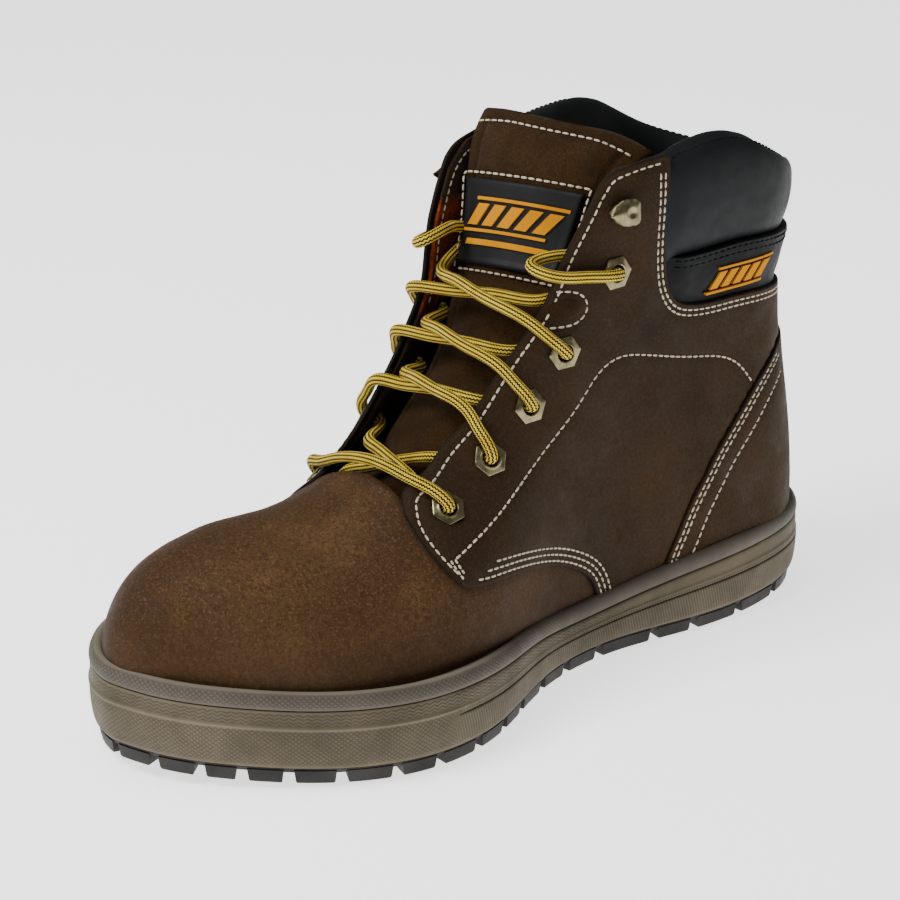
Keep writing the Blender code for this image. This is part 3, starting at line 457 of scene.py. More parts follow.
def sheet_mesh(outline, spacing, rows=(), holes=()):
    """A triangulation of a chart outline: fine along its edge and along stitch rows."""
    edge = keep_corners(outline, EDGE_STEP)
    points = [edge]
    constraints = [(i, (i + 1) % len(edge)) for i in range(len(edge))]
    count = len(edge)
    hole_loops = []
    for centre_a, centre_z, radius in holes:
        turn = np.linspace(0, 2 * np.pi, 20, endpoint=False)
        loop = np.stack([centre_a + radius * np.cos(turn), centre_z + radius * np.sin(turn)], -1)
        constraints += [(count + i, count + (i + 1) % len(loop)) for i in range(len(loop))]
        hole_loops.append(loop)
        points.append(loop)
        count += len(loop)
    borders = [edge, *hole_loops]

    def border_distance(p):
        return np.min([distance_to(p, border, closed=True) for border in borders], axis=0)

    extra = []
    for amount in EDGE_RINGS:
        ring = np.vstack([beside(np.vstack([border, border[:1]]), sign * amount)[:-1]
                          for border in borders for sign in (1, -1)])
        keep = inside(ring, edge) & (np.abs(border_distance(ring) - amount) < 0.06)
        extra.append(ring[keep])
    for row in rows:
        line = resample(row, 1.2)
        for amount in (-ROW_BAND, 0, ROW_BAND):
            band = beside(line, amount)
            keep = inside(band, edge) & (border_distance(band) > 1.9)
            extra.append(band[keep])
    low, high = edge.min(axis=0), edge.max(axis=0)
    a = np.arange(low[0], high[0], spacing)
    z = np.arange(low[1], high[1], spacing * 0.87)
    grid = np.stack(np.meshgrid(a, z), -1)
    grid[1::2, :, 0] += spacing / 2
    grid = grid.reshape(-1, 2)
    keep = inside(grid, edge) & (border_distance(grid) > spacing * 0.8 + 0.9)
    for loop in hole_loops:
        keep &= ~inside(grid, loop)
    for row in rows:
        keep &= distance_to(grid, row) > ROW_BAND + spacing * 0.6
    extra.append(grid[keep])
    extra = np.vstack(extra)
    rounded = np.round(extra / CLOSEST).astype(int)
    _, first = np.unique(rounded, axis=0, return_index=True)
    extra = extra[np.sort(first)]
    for loop in hole_loops:
        extra = extra[~inside(extra, loop)]
    points.append(extra)
    verts, faces = triangulated(np.vstack(points), constraints)
    middle = verts[faces].mean(axis=1)
    keep = inside(middle, edge)
    for loop in hole_loops:
        keep &= ~inside(middle, loop)
    return verts, faces[keep], border_distance(verts)


def boundary_edges(faces):
    """Directed edges that only one face has."""
    edges = {}
    for face in faces:
        for a, b in zip(face, np.roll(face, -1)):
            edges[(int(a), int(b))] = True
    return [edge for edge in edges if (edge[1], edge[0]) not in edges]


EDGE_ROUNDING = 0.8      # radius of a leather panel's cut edge


def rolled(gap, radius):
    """Drop of a round edge at a distance from it."""
    curl = np.clip(radius - gap, 0, radius)
    return radius - np.sqrt(np.maximum(radius ** 2 - curl ** 2, 0))


def panel(name, outline, top, thickness, material, rows=(), holes=(), spacing=2.6, sink=None,
          swell=None, roughness=0.12):
    """A closed sheet of leather laid on the upper.

    top is its height over the surface. sink is a function of chart points that lowers it,
    swell one that raises its outside, and rows are stitch rows that pull it in.
    """
    chart, faces, edge = sheet_mesh(outline, spacing, rows, holes)
    points, normal = surface(chart)
    height = np.full(len(chart), float(top))
    if sink is not None:
        height -= sink(chart)
    floor = height - thickness
    if swell is not None:
        height += swell(chart)
    height += roughness * wave_noise(points, 26, 5)
    height -= rolled(edge, EDGE_ROUNDING)
    pull = np.zeros(len(chart))
    for row in rows:
        pull = np.maximum(pull, bell(distance_to(chart, row), 0, 0.75))
    height -= 0.35 * pull
    front = points + normal * height[:, None]
    rear = points + normal * floor[:, None]
    faces = facing_out(faces, front, normal)
    piece = new_piece(name, *closed_sheet(front, rear, faces), material)
    wear = bell(edge, 0, 0.7)
    set_attribute(piece, "edge", np.concatenate([wear, np.ones(len(points))]))
    # the seam attribute carries painted shade in the dents of the stitch rows
    set_attribute(piece, "seam", pull)
    return piece


# ---------------------------------------------------------------- stitches

def capsule(sides=6):
    """A thread stitch along X, from -1 to 1, with a radius of 1 in the middle."""
    stations = ((-1.0, 0.25), (-0.8, 0.8), (-0.35, 1.0), (0.35, 1.0), (0.8, 0.8), (1.0, 0.25))
    turn = 2 * math.pi * np.arange(sides) / sides
    loops = [np.stack([np.full(sides, along), radius * np.cos(turn), radius * np.sin(turn)], -1)
             for along, radius in stations]
    return np.vstack(loops), loop_faces(len(loops), sides) + loop_ends(len(loops), sides)


STITCH_POINTS, STITCH_FACES = capsule()


STITCH_STEP = 0.8        # spacing of the points on a row of stitches


class Thread:
    """Stitches gathered into one piece."""

    def __init__(self, name, material, body="boot"):
        self.name, self.material, self.body = name, material, body
        self.points = []
        self.faces = []
        self.count = 0

    def add(self, start, end, normal, radius=0.42):
        """One stitch from start to end, its ends dipping into the leather."""
        run = end - start
        half = np.linalg.norm(run) / 2
        along = run / max(2 * half, 1e-9)
        across = unit(np.cross(normal, along))
        upward = np.cross(along, across)
        local = STITCH_POINTS
        dip = 0.55 * radius * local[:, 0:1] ** 4
        placed = ((start + end) / 2 + local[:, 0:1] * half * along + local[:, 1:2] * radius * across
                  + (local[:, 2:3] * radius * 0.8 - dip) * upward)
        self.points.append(placed)
        self.faces.extend(tuple(v + self.count for v in face) for face in STITCH_FACES)
        self.count += len(placed)

    def run(self, points, normals, pitch=3.1, length=2.5, radius=0.42):
        """Stitches along a polyline with a normal at each point."""
        step = travelled(points)
        for mark in np.arange(0.3, step[-1] - length, pitch):
            middle = mark + length / 2
            normal = unit([np.interp(middle, step, normals[:, k]) for k in range(3)])
            self.add(*at_distances(points, [mark, mark + length]), normal, radius)

    def row(self, chart_line, height, **words):
        """Stitches along a line of the chart, at a height over the surface."""
        line = resample(chart_line, STITCH_STEP)
        points, normals = surface(line)
        self.run(points + normals * height, normals, **words)

    def finish(self):
        """The stitches as one piece that rides on the body."""
        return new_piece(self.name, np.vstack(self.points), self.faces, self.material, self.body)


# ---------------------------------------------------------------- materials

def colour(code):
    """A linear colour from a #rrggbb code."""
    levels = [int(code[i:i + 2], 16) / 255 for i in (1, 3, 5)]
    linear = [v / 12.92 if v <= 0.04045 else ((v + 0.055) / 1.055) ** 2.4 for v in levels]
    return (*linear, 1.0)


class Look:
    """A material and shorthand for its nodes. Sizes of patterns are in millimetres."""

    def __init__(self, name, roughness, metallic=0.0, sheen=0.0, specular=0.5):
        self.material = bpy.data.materials.new(name)
        self.material.use_nodes = True
        self.tree = self.material.node_tree
        self.shader = self.tree.nodes["Principled BSDF"]
        self.shader.inputs["Roughness"].default_value = roughness
        self.shader.inputs["Metallic"].default_value = metallic
        self.shader.inputs["Sheen Weight"].default_value = sheen
        self.shader.inputs["Sheen Roughness"].default_value = 0.45
        self.shader.inputs["Specular IOR Level"].default_value = specular
        self.place = self.node("ShaderNodeTexCoord").outputs["Object"]
        self.bumped = None

    def node(self, kind, **settings):
        made = self.tree.nodes.new(kind)
        for key, value in settings.items():
            setattr(made, key, value)
        return made

    def link(self, source, socket):
        """Feed a socket from another node or with a plain value."""
        if isinstance(source, bpy.types.NodeSocket):
            self.tree.links.new(source, socket)
        else:
            socket.default_value = source

    def noise(self, size, detail=3.0, rough=0.55):
        """Cloudy noise from 0 to 1."""
        made = self.node("ShaderNodeTexNoise")
        self.link(self.place, made.inputs["Vector"])
        made.inputs["Scale"].default_value = 1000 / size
        made.inputs["Detail"].default_value = detail
        made.inputs["Roughness"].default_value = rough
        return made.outputs["Fac"]

    def cells(self, size):
        """Distance to the nearest of scattered points."""
        made = self.node("ShaderNodeTexVoronoi")
        self.link(self.place, made.inputs["Vector"])
        made.inputs["Scale"].default_value = 1000 / size
        return made.outputs["Distance"]

    def attribute(self, name):
        made = self.node("ShaderNodeAttribute", attribute_name=name)
        return made.outputs["Fac"]

    def math(self, operation, a, b=0.0, c=0.0):
        made = self.node("ShaderNodeMath", operation=operation)
        for value, socket in zip((a, b, c), made.inputs):
            self.link(value, socket)
        return made.outputs[0]

    def span(self, value, low, high, to_low=0.0, to_high=1.0):
        """value between low and high mapped to another range, clamped."""
        made = self.node("ShaderNodeMapRange")
        for number, socket in zip((value, low, high, to_low, to_high), made.inputs):
            self.link(number, socket)
        return made.outputs[0]

    def mix(self, amount, first, second):
        made = self.node("ShaderNodeMix", data_type="RGBA")
        self.link(amount, made.inputs[0])
        self.link(first, made.inputs[6])
        self.link(second, made.inputs[7])
        return made.outputs[2]

    def patches(self, pattern, low, high, first, second):
        """Two colour codes blended by a pattern between low and high."""
        return self.mix(self.span(pattern, low, high), colour(first), colour(second))

    def over(self, base, pattern, low, high, amount, code):
        """base with a colour over it, up to amount where the pattern reaches high."""
        return self.mix(self.span(pattern, low, high, 0, amount), base, colour(code))

    def uneven(self, size, low, high):
        """A number that wanders between low and high."""
        return self.span(self.noise(size, 4), 0.3, 0.7, low, high)

    def sum(self, a, b):
        return self.math("ADD", a, b)

    def times(self, a, b):
        return self.math("MULTIPLY", a, b)

    def bump(self, height, distance, strength):
        """Relief on top of what is there; distance is its full height in millimetres."""
        made = self.node("ShaderNodeBump")
        made.inputs["Strength"].default_value = strength
        made.inputs["Distance"].default_value = distance * MM
        self.link(height, made.inputs["Height"])
        if self.bumped is not None:
            self.link(self.bumped, made.inputs["Normal"])
        self.bumped = made.outputs["Normal"]

    def finish(self, base, roughness=None):
        self.link(base, self.shader.inputs["Base Color"])
        if roughness is not None:
            self.link(roughness, self.shader.inputs["Roughness"])
        if self.bumped is not None:
            self.link(self.bumped, self.shader.inputs["Normal"])
        return self.material


def leather(name, dark, middle, light, edge_tone, nap):
    """Waxed leather: blotches, pull-up lights, fine nap and pores, darker raw edges, and painted shade
    from the shade and seam attributes.
    """
    look = Look(name, 0.72, sheen=0.02, specular=0.12)
    base = look.patches(look.noise(90, 4, 0.55), 0.34, 0.64, dark, middle)
    base = look.over(base, look.noise(24, 5, 0.6), 0.5, 0.85, 0.45, light)
    grain = look.noise(1.5, 5, 0.75)
    base = look.over(base, grain, 0.42, 0.62, nap, dark)
    base = look.over(base, look.noise(0.9, 3, 0.65), 0.52, 0.75, 0.5, light)
    base = look.over(base, look.noise(7, 6, 0.75), 0.6, 0.78, 0.15, light)
    # painted shade: darker where the shade attribute is high, low on the vamp and towards its rear
    base = look.mix(look.times(look.attribute("shade"), 0.65), base, colour(dark))
    # painted shade in the dents along stitch rows and along the quarters' edges over the vamp
    base = look.over(base, look.attribute("seam"), 0.1, 1.0, 0.45, dark)
    base = look.over(base, look.attribute("edge"), 0.15, 0.8, 0.85, edge_tone)
    look.bump(look.noise(9, 4), 0.5, 0.3)
    look.bump(look.cells(1.3), 0.12, 0.45)
    look.bump(grain, 0.16, 0.55)
    return look.finish(base, look.uneven(12, 0.62, 0.85))


def suede(name, dark, light, size=0.9):
    """Split leather with a raised, brushed nap."""
    look = Look(name, 0.95, sheen=0.06, specular=0.08)
    base = look.patches(look.noise(14, 5, 0.65), 0.25, 0.75, dark, light)
    nap = look.noise(size, 4, 0.8)
    base = look.over(base, nap, 0.4, 0.62, 0.85, dark)
    # painted shade in the dents along the tongue's stitch row
    base = look.over(base, look.attribute("seam"), 0.1, 1.0, 0.4, dark)
    # darker brown where the facing is outside its rust band of levels
    base = look.mix(look.attribute("darkened"), base, colour("#2b1d10"))
    look.bump(look.noise(5, 4), 0.5, 0.35)
    look.bump(nap, 0.5, 0.9)
    return look.finish(base)


def coated(name, dark, light, roughness):
    """Smooth coated synthetic over foam, with a fine pebble."""
    look = Look(name, roughness, specular=0.14)
    base = look.patches(look.noise(40, 3), 0.35, 0.65, dark, light)
    # painted shade in the collar's stitched groove and in the dents of the patches' stitch rows
    base = look.over(base, look.attribute("seam"), 0.1, 1.0, 0.7, "#0b0c0d")
    look.bump(look.noise(22, 3), 0.6, 0.25)
    look.bump(look.cells(0.8), 0.05, 0.35)
    return look.finish(base, look.uneven(6, roughness - 0.05, roughness + 0.08))


def fabric(name, dark, light):
    """Knit spacer mesh of a lining: small raised dots."""
    look = Look(name, 0.92, sheen=0.05, specular=0.1)
    dots = look.span(look.cells(1.0), 0.15, 0.5)
    # darker in the pits between the raised knit: painted shade
    base = look.mix(dots, colour(dark), colour(light))
    base = look.over(base, look.noise(14, 3), 0.3, 0.7, 0.4, dark)
    look.bump(dots, 0.3, 0.7)
    return look.finish(base)


def plain_rubber(name, dark, light, roughness=0.62, specular=0.25):
    """Smooth rubber or plastic with faint clouds and a fine grain."""
    look = Look(name, roughness, specular=specular)
    base = look.patches(look.noise(16, 5, 0.6), 0.35, 0.68, dark, light)
    base = look.over(base, look.noise(1.6, 3), 0.55, 0.8, 0.25, light)
    look.bump(look.noise(0.7, 3), 0.06, 0.5)
    return look.finish(base, look.uneven(9, roughness - 0.08, roughness + 0.1))


def sidewall_rubber(name, dark, light):
    """Moulded sidewall: diamond hatch, zigzag band and slanted ribs where masks say so."""
    look = Look(name, 0.66, specular=0.22)
    along = look.attribute("along")
    up = look.attribute("up")

    def stripes(place, pitch):
        return look.math("SINE", look.times(place, 2 * math.pi / pitch))

    def slanted(a_weight, z_weight, pitch):
        return stripes(look.sum(look.times(along, a_weight), look.times(up, z_weight)), pitch)

    def masked(pattern, name):
        lowered = look.math("SUBTRACT", pattern, 1.0)
        return look.sum(look.times(lowered, look.attribute(name)), 1.0)

    hatch = look.math("MAXIMUM", look.math("ABSOLUTE", slanted(0.8, 1.0, 3.3)),
                      look.math("ABSOLUTE", slanted(0.8, -1.0, 3.3)))
    hatch = look.span(hatch, 0.80, 1.0, 1.0, 0.0)
    rib = look.span(slanted(1.0, -0.3, 1.25), -0.5, 0.6)
    wobble = look.times(look.math("PINGPONG", along, 1.6), 0.55)
    zig = look.span(stripes(look.sum(up, wobble), 1.3), -0.4, 0.5)
    relief = look.times(masked(hatch, "hatch"), masked(rib, "ribs"))
    relief = look.times(relief, masked(zig, "zigzag"))
    base = look.patches(look.noise(26, 5, 0.6), 0.35, 0.66, dark, light)
    base = look.over(base, look.noise(2.2, 4), 0.5, 0.8, 0.3, dark)
    base = look.over(base, relief, 0.9, 0.1, 0.5, "#2e2a24")
    # painted shade in the parting groove
    base = look.mix(look.times(look.attribute("groove"), 0.75), base, colour("#1d1a17"))
    base = look.over(base, look.attribute("highlight"), 0, 1, 0.35, "#8d8570")
    look.bump(look.math("SUBTRACT", 1.0, relief), 0.22, 0.7)
    look.bump(look.noise(0.6, 3), 0.06, 0.4)
    return look.finish(base, look.uneven(10, 0.58, 0.78))


def brass(name, dark, light):
    """Antique plated metal, darker in patches."""
    look = Look(name, 0.38, metallic=1.0)
    base = look.patches(look.noise(5, 4, 0.6), 0.3, 0.7, dark, light)
    look.bump(look.noise(1.6, 3), 0.02, 0.25)
    return look.finish(base, look.uneven(2.2, 0.2, 0.42))


def cotton(name, tone, shade):
    """Sewing thread, darker in places."""
    look = Look(name, 0.85, sheen=0.05, specular=0.1)
    base = look.over(colour(tone), look.noise(2.5, 4), 0.4, 0.7, 0.8, shade)
    look.bump(look.noise(0.35, 2), 0.08, 0.6)
    return look.finish(base)


def braid(name):
    """Round braided lace: yellow ribs with black tracer yarns in small zigzags."""
    look = Look(name, 0.8, sheen=0.04, specular=0.12)
    along = look.attribute("along")
    zig = look.times(look.math("PINGPONG", along, 0.55), 0.6)
    ribs = look.sum(look.times(look.attribute("turn"), 9.0), zig)
    stripe = look.math("PINGPONG", ribs, 0.5)
    black = look.span(stripe, 0.22, 0.26, 1.0, 0.0)
    slant = look.sum(along, look.times(stripe, 0.9))
    yarn = look.math("ABSOLUTE", look.math("SINE", look.times(slant, 2 * math.pi / 1.1)))
    base = look.patches(look.noise(6, 3), 0.3, 0.7, "#dcb41e", "#f2d64a")
    # painted shade between the yarns, where the relief is low
    base = look.mix(look.span(yarn, 0.0, 0.45, 0.55, 0.0), base, colour("#7d6214"))
    base = look.mix(black, base, colour("#0b0a07"))
    relief = look.times(look.span(stripe, 0.05, 0.35), look.span(yarn, 0, 0.6, 0.5, 1.0))
    look.bump(relief, 0.35, 0.8)
    return look.finish(base)


def foam_look(name, dark, light):
    """Foam or pressed fibre with small cells."""
    look = Look(name, 0.95, specular=0.2)
    base = look.patches(look.noise(3, 4), 0.3, 0.7, dark, light)
    look.bump(look.cells(0.7), 0.2, 0.5)
    return look.finish(base)


def steel_look(name, dark, light):
    """Plain pressed steel."""
    look = Look(name, 0.35, metallic=1.0)
    base = look.patches(look.noise(20, 5), 0.3, 0.7, dark, light)
    look.bump(look.noise(0.8, 3), 0.03, 0.3)
    return look.finish(base, look.uneven(5, 0.28, 0.45))


VAMP_LEATHER = leather("vamp_leather", "#302010", "#533a22", "#80603f", "#1d120a", 0.8)
QUARTER_LEATHER = leather("quarter_leather", "#22170c", "#352513", "#4a351f", "#1a1109", 0.6)
SUEDE = suede("tongue_suede", "#24170a", "#422e15")
RUST = suede("rust_suede", "#4a1c06", "#9a4510", 1.6)
COLLAR = coated("collar_coating", "#0f1112", "#16191a", 0.55)
BLACK_PATCH = coated("patch_coating", "#030404", "#060707", 0.6)
LINING = fabric("lining_mesh", "#0d0d0e", "#26272a")
SIDEWALL = sidewall_rubber("sidewall_rubber", "#4c4434", "#645a47")
RIM = sidewall_rubber("rim_rubber", "#4f4840", "#5f574e")
TREAD = plain_rubber("tread_rubber", "#1b1816", "#2d2926")
LABEL = plain_rubber("label_rubber", "#08090a", "#0e0f10", 0.6)
YELLOW = plain_rubber("yellow_rubber", "#bc7a00", "#cc8800", 0.8, 0.08)
BRASS = brass("antique_brass", "#5d5740", "#948b68")
THREAD = cotton("cream_thread", "#cbbfa8", "#a0937a")
BLACK_THREAD = cotton("black_thread", "#16171a", "#0b0c0e")
LACE = braid("lace_braid")
FOAM = foam_look("foam", "#6b675c", "#8a8578")
BOARD = foam_look("fibre_board", "#8a7a5e", "#a89878")
STEEL = steel_look("pressed_steel", "#8d9094", "#b4b7ba")
POLYMER = plain_rubber("stiffener_polymer", "#6b6b6b", "#7d7d7d", 0.5)


# ---------------------------------------------------------------- outlines in the side view

EYELETS = ((203, 81), (181, 93), (161, 107.5), (146, 124.5), (124, 150))
EYELET_HOLE = 3.7
HOOK = (122, 172)
EYESTAY_EDGE = smooth([(216.4, 80), (213, 85), (204, 90.6), (195, 97), (185, 104), (177, 111.5),
                       (164.5, 125.6), (152.5, 140), (144.5, 156.5), (136, 170), (129, 181)], 90)
EYESTAY_TOP = smooth([(129, 181), (125, 184.8), (119, 187), (112, 188.6), (103, 189.8)], 20)
VAMP_SEAM = smooth([(209, 58), (214.6, 66.4), (216.8, 73.8), (216.4, 80)], 20)
QUARTER_HEM = smooth([(209, 58), (201, 56.4), (191, 55.5), (178, 53.3), (163.4, 49.2),
                      (149.5, 44.2), (140, 39.5), (131.6, 33), (127, 20)], 60)
HEEL_SEAM = smooth([(96, 19), (95, 32), (90.7, 40.7), (86, 50), (79.5, 60), (72, 70.4),
                    (61, 81.6), (51, 91), (34, 101), (18, 105)], 70)
COLLAR_SEAM = smooth([(101, 189.8), (101, 170), (100.3, 150), (98, 140), (93, 133.4),
                      (84, 130.2), (60, 129), (34, 126.5), (14, 124.5)], 90)
PANEL_TOP = smooth([(103, 151), (83, 150.6), (62, 151), (33, 148.5), (14, 147)], 40)
COLLAR_TOP = profile([(6, 168.5), (12, 170.5), (30, 176), (45, 182), (55, 187), (66, 191.6),
                      (76, 193.6), (85, 193), (93, 191.4), (101, 189.8), (120, 187)])
STYLE_LINE = smooth([(208.7, 67), (184, 76.7), (159, 89.6), (138.5, 105), (129.4, 114.4),
                     (122.3, 117.4), (110, 116.2), (84, 109.6), (60, 102), (51, 91.7)], 90)
FLEX_OVAL = (144.5, 140, 6.2, 4.0)


def down_back(high, low, count=20):
    """The back seam in the chart from one level to another."""
    z = np.linspace(high, low, count)
    return np.stack([0 * z, z], -1)


def along_level(z, start, end, side, count=60):
    """A line of the chart at one level from s = start to end."""
    s = np.linspace(start, end, count)
    return to_chart(np.stack([s, 0 * s + z], -1), side)


def quarter_outline(side):
    """The quarter in the chart: eyestay, collar seam, back seam, sole line and hem."""
    front = np.vstack([EYESTAY_EDGE, EYESTAY_TOP[1:], COLLAR_SEAM[1:]])
    bottom = along_level(20.0, 16, 127, side)
    hem = np.vstack([QUARTER_HEM[::-1][1:], VAMP_SEAM[1:-1]])
    return np.vstack([to_chart(front, side), down_back(124, 20), bottom, to_chart(hem, side)])


def oval(s, z, half_s, half_z, count=40):
    """A closed oval in the side view."""
    turn = np.linspace(0, 2 * math.pi, count, endpoint=False)
    return np.stack([s + half_s * np.cos(turn), z + half_z * np.sin(turn)], -1)


# ---------------------------------------------------------------- the vamp

VAMP_REAR = 128.0        # s of the vamp's rear end, hidden under the quarters
FAN_START = 250.0        # the fan of sections round the toe turns about this s
THROAT = 212.0           # rear edge of the vamp under the tongue
VAMP_THICK = 1.8
VAMP_ROWS = 44
QUARTER_TOP = 0.8        # height of the quarter's outside over the surface


def section(s, x, z):
    """A section from the bottom to the ridge, with evenly spaced points."""
    return evenly(np.stack([s, x, z], -1), VAMP_ROWS)


def vamp_columns():
    """Sections from the lateral side round the toe to the medial one, in (s, x, z).

    The second value is how many of them stand across the foot on each side.
    """
    climb = 1 - (1 - np.linspace(0, 1, 260)) ** 2.2
    straight = {}
    for side in (LATERAL, MEDIAL):
        straight[side] = []
        for s in np.arange(VAMP_REAR, FAN_START + 0.1, 2.0):
            z = UPPER_ZERO + (ridge(s) - UPPER_ZERO) * climb
            x = centre(s) + side * half_width(np.full(len(z), s), z, side)
            straight[side].append(section(np.full(len(z), s), x, z))
    fan = []
    axis_x = float(centre(FAN_START))
    top = float(ridge(FAN_START))
    z = UPPER_ZERO + (top - UPPER_ZERO) * climb
    for turn in np.linspace(math.pi / 2, -math.pi / 2, 92)[1:-1]:
        low = np.zeros(len(z))
        high = np.full(len(z), 90.0)
        for _ in range(40):
            middle = (low + high) / 2
            s = FAN_START + middle * math.cos(turn)
            x = axis_x + middle * math.sin(turn)
            side = np.where(x >= centre(s), LATERAL, MEDIAL)
            within = np.abs(x - centre(s)) < half_width(s, z, side)
            within &= (s < TOE_TIP) & (z < ridge(s))
            low = np.where(within, middle, low)
            high = np.where(within, high, middle)
        fan.append(section(FAN_START + low * math.cos(turn), axis_x + low * math.sin(turn), z))
    return np.array(straight[LATERAL] + fan + straight[MEDIAL][::-1]), len(straight[LATERAL])


def vamp_normals(grid, space, straight):
    """Outward normals of the vamp's grid, which both sides share along the ridge."""
    normal = unit(np.cross(np.gradient(space, axis=0), np.gradient(space, axis=1)))
    outward = space - world(grid[..., 0] * 0.9, centre(grid[..., 0]), 30.0)
    normal *= np.sign(np.sum(normal * outward, axis=2))[..., None]
    top = normal[:, -1] + normal[::-1, -1]
    top[straight:len(grid) - straight] = (0, -0.06, 1)
    normal[:, -1] = unit(top)
    return normal


def vamp_faces(wanted, straight):
    """Faces of the wanted part of the vamp's grid, its sides joined along the ridge."""
    count, rows = wanted.shape
    index = np.arange(count * rows).reshape(count, rows)
    for c in range(count // 2):
        index[count - 1 - c, -1] = index[c, -1]
    index[straight:count - straight + 1, -1] = index[straight - 1, -1]
    faces = []
    for c in range(count - 1):
        for r in range(rows - 1):
            if wanted[c:c + 2, r:r + 2].all():
                loop = (index[c, r], index[c + 1, r], index[c + 1, r + 1], index[c, r + 1])
                loop = list(dict.fromkeys(loop))
                if len(loop) > 2:
                    faces.append(loop)
    return faces


def make_vamp():
    """The vamp over the toe box, tucked under the quarters; one shell in place of the vamp and its
    lining.
    """
    grid, straight = vamp_columns()
    s, z = grid[..., 0], grid[..., 2]
    space = world(s, grid[..., 1], z)
    cover = np.vstack([EYESTAY_EDGE, [(40, 181), (40, 20)], QUARTER_HEM[::-1], VAMP_SEAM])
    signed = signed_distance(grid[..., [0, 2]].reshape(-1, 2), cover)
    height = -1.15 * rising(signed, -1.2, 1.2) + 0.25 * wave_noise(space.reshape(-1, 3), 34, 3)
    hem_level = np.interp(s, QUARTER_HEM[::-1, 0], QUARTER_HEM[::-1, 1])
    faces = vamp_faces((s > THROAT) | (z < hem_level + 9), straight)
    used = sorted({v for face in faces for v in face})
    renumber = {v: i for i, v in enumerate(used)}
    faces = [[renumber[v] for v in face] for face in faces]
    base = space.reshape(-1, 3)[used]
    out = vamp_normals(grid, space, straight).reshape(-1, 3)[used]
    lift = height[used][:, None]
    front = base + out * lift
    rear = base + out * (lift - VAMP_THICK)
    solid = closed_sheet(front, rear, facing_out(faces, front, out))
    piece = new_piece("vamp_shell", *solid, VAMP_LEATHER)
    # painted shade: the vamp darkens towards the sole and towards its rear
    low = 1 - rising(z - spring(s), 34, 70)
    waist = 1 - rising(s, 150, 240)
    shade = np.maximum(low, 0.9 * waist).reshape(-1)[used]
    set_attribute(piece, "shade", np.tile(shade, 2))
    # painted shade along the quarters' edges where they lie over the vamp
    set_attribute(piece, "seam", bell(signed[used], 0, 1.6))
    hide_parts("vamp", "vamp_lining")


# ---------------------------------------------------------------- quarters, heel and back

SEAM_ROW = 2.3           # distance from an edge to its first stitch row
HEM_ROW_STEP = 2.3


def heel_sink(chart):
    """How far the quarter goes down under the heel cover."""
    return 1.4 * rising(signed_distance(chart, heel_outline()), -0.8, 1.4)


def heel_outline():
    """The heel cover in the chart, over both sides."""
    lateral = to_chart(HEEL_SEAM, LATERAL)
    medial = to_chart(HEEL_SEAM, MEDIAL)
    return np.vstack([lateral, [(0, 105.5)], medial[::-1]])


def quarter_rows(side):
    """Stitch rows of one quarter as chart lines."""
    edge_row = beside(EYESTAY_EDGE, 2.7)[4:-2]
    top_row = beside(EYESTAY_TOP, 2.7)[3:]
    seam_row = beside(VAMP_SEAM, SEAM_ROW)[3:-2]
    hem_rows = [beside(QUARTER_HEM, -(SEAM_ROW + k * HEM_ROW_STEP))[4 + 3 * k:] for k in range(3)]
    collar_rows = [beside(COLLAR_SEAM, SEAM_ROW + k * 2.0)[4:-6] for k in range(2)]
    runs = [np.vstack([edge_row, top_row]), np.vstack([seam_row, edge_row[:6]]), *hem_rows,
            *collar_rows, STYLE_LINE]
    s, z, half_s, half_z = FLEX_OVAL
    turn = np.linspace(0.5, 1.5, 30) * math.pi
    rear = np.stack([s + (half_s + 2.2) * np.cos(turn), z + (half_z + 2.2) * np.sin(turn)], -1)
    runs.append(np.vstack([[(s + 3.0, z + half_z + 2.3)], rear, [(s + 9.0, z - half_z - 2.4)]]))
    return [to_chart(run, side) for run in runs]


def eyelet_holes(side):
    """Holes in the chart for the eyelets' barrels: (a, z, radius)."""
    return [(*to_chart([place], side)[0], EYELET_HOLE) for place in EYELETS]


def make_quarter(side, tag):
    """One quarter with its eyelet holes, stitches and flex insert."""
    outline = quarter_outline(side)
    rows = quarter_rows(side)
    piece = panel("quarter_shell_" + tag, outline, QUARTER_TOP, 1.6, QUARTER_LEATHER, rows,
                  eyelet_holes(side), sink=heel_sink)
    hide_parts("quarter_" + tag)
    thread = Thread("quarter_stitching_" + tag, THREAD)
    heel = heel_outline()
    for row in rows:
        line = resample(row, STITCH_STEP)
        line = line[~inside(line, heel)]
        if len(line) > 6:
            thread.row(line, QUARTER_TOP - 0.2)
    bar_tack(thread, side)
    thread.finish()
    insert = to_chart(oval(*FLEX_OVAL), side)
    piece = panel("flex_insert_shell_" + tag, insert, QUARTER_TOP + 0.15, 0.8, SUEDE, spacing=1.4,
                  swell=lambda chart: 0.5 * ease(distance_to(chart, insert, closed=True) / 3))
    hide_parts("flex_insert_" + tag)


def bar_tack(thread, side):
    """A short block of dense stitches where the quarter's front corner is fixed."""
    for step in range(2):
        front = 209.8 - 1.7 * step
        line = to_chart([(front + 0.9, 67.2), (front, 64), (front - 1.6, 60.6)], side)
        thread.row(line, QUARTER_TOP - 0.05, pitch=2.1, length=1.7, radius=0.42)


def make_heel_cover():
    """The leather over the heel with its rows of stitches."""
    outline = heel_outline()
    rows = []
    for side in (LATERAL, MEDIAL):
        for amount in (SEAM_ROW, SEAM_ROW + 2.0, 11.0):
            rows.append(to_chart(beside(HEEL_SEAM, amount)[2:-8], side))
    piece = panel("heel_cover_shell", outline, 1.5, 1.6, QUARTER_LEATHER, rows)
    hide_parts("heel_cover")
    thread = Thread("heel_stitching", THREAD)
    for row in rows:
        thread.row(row, 1.3)
    thread.finish()


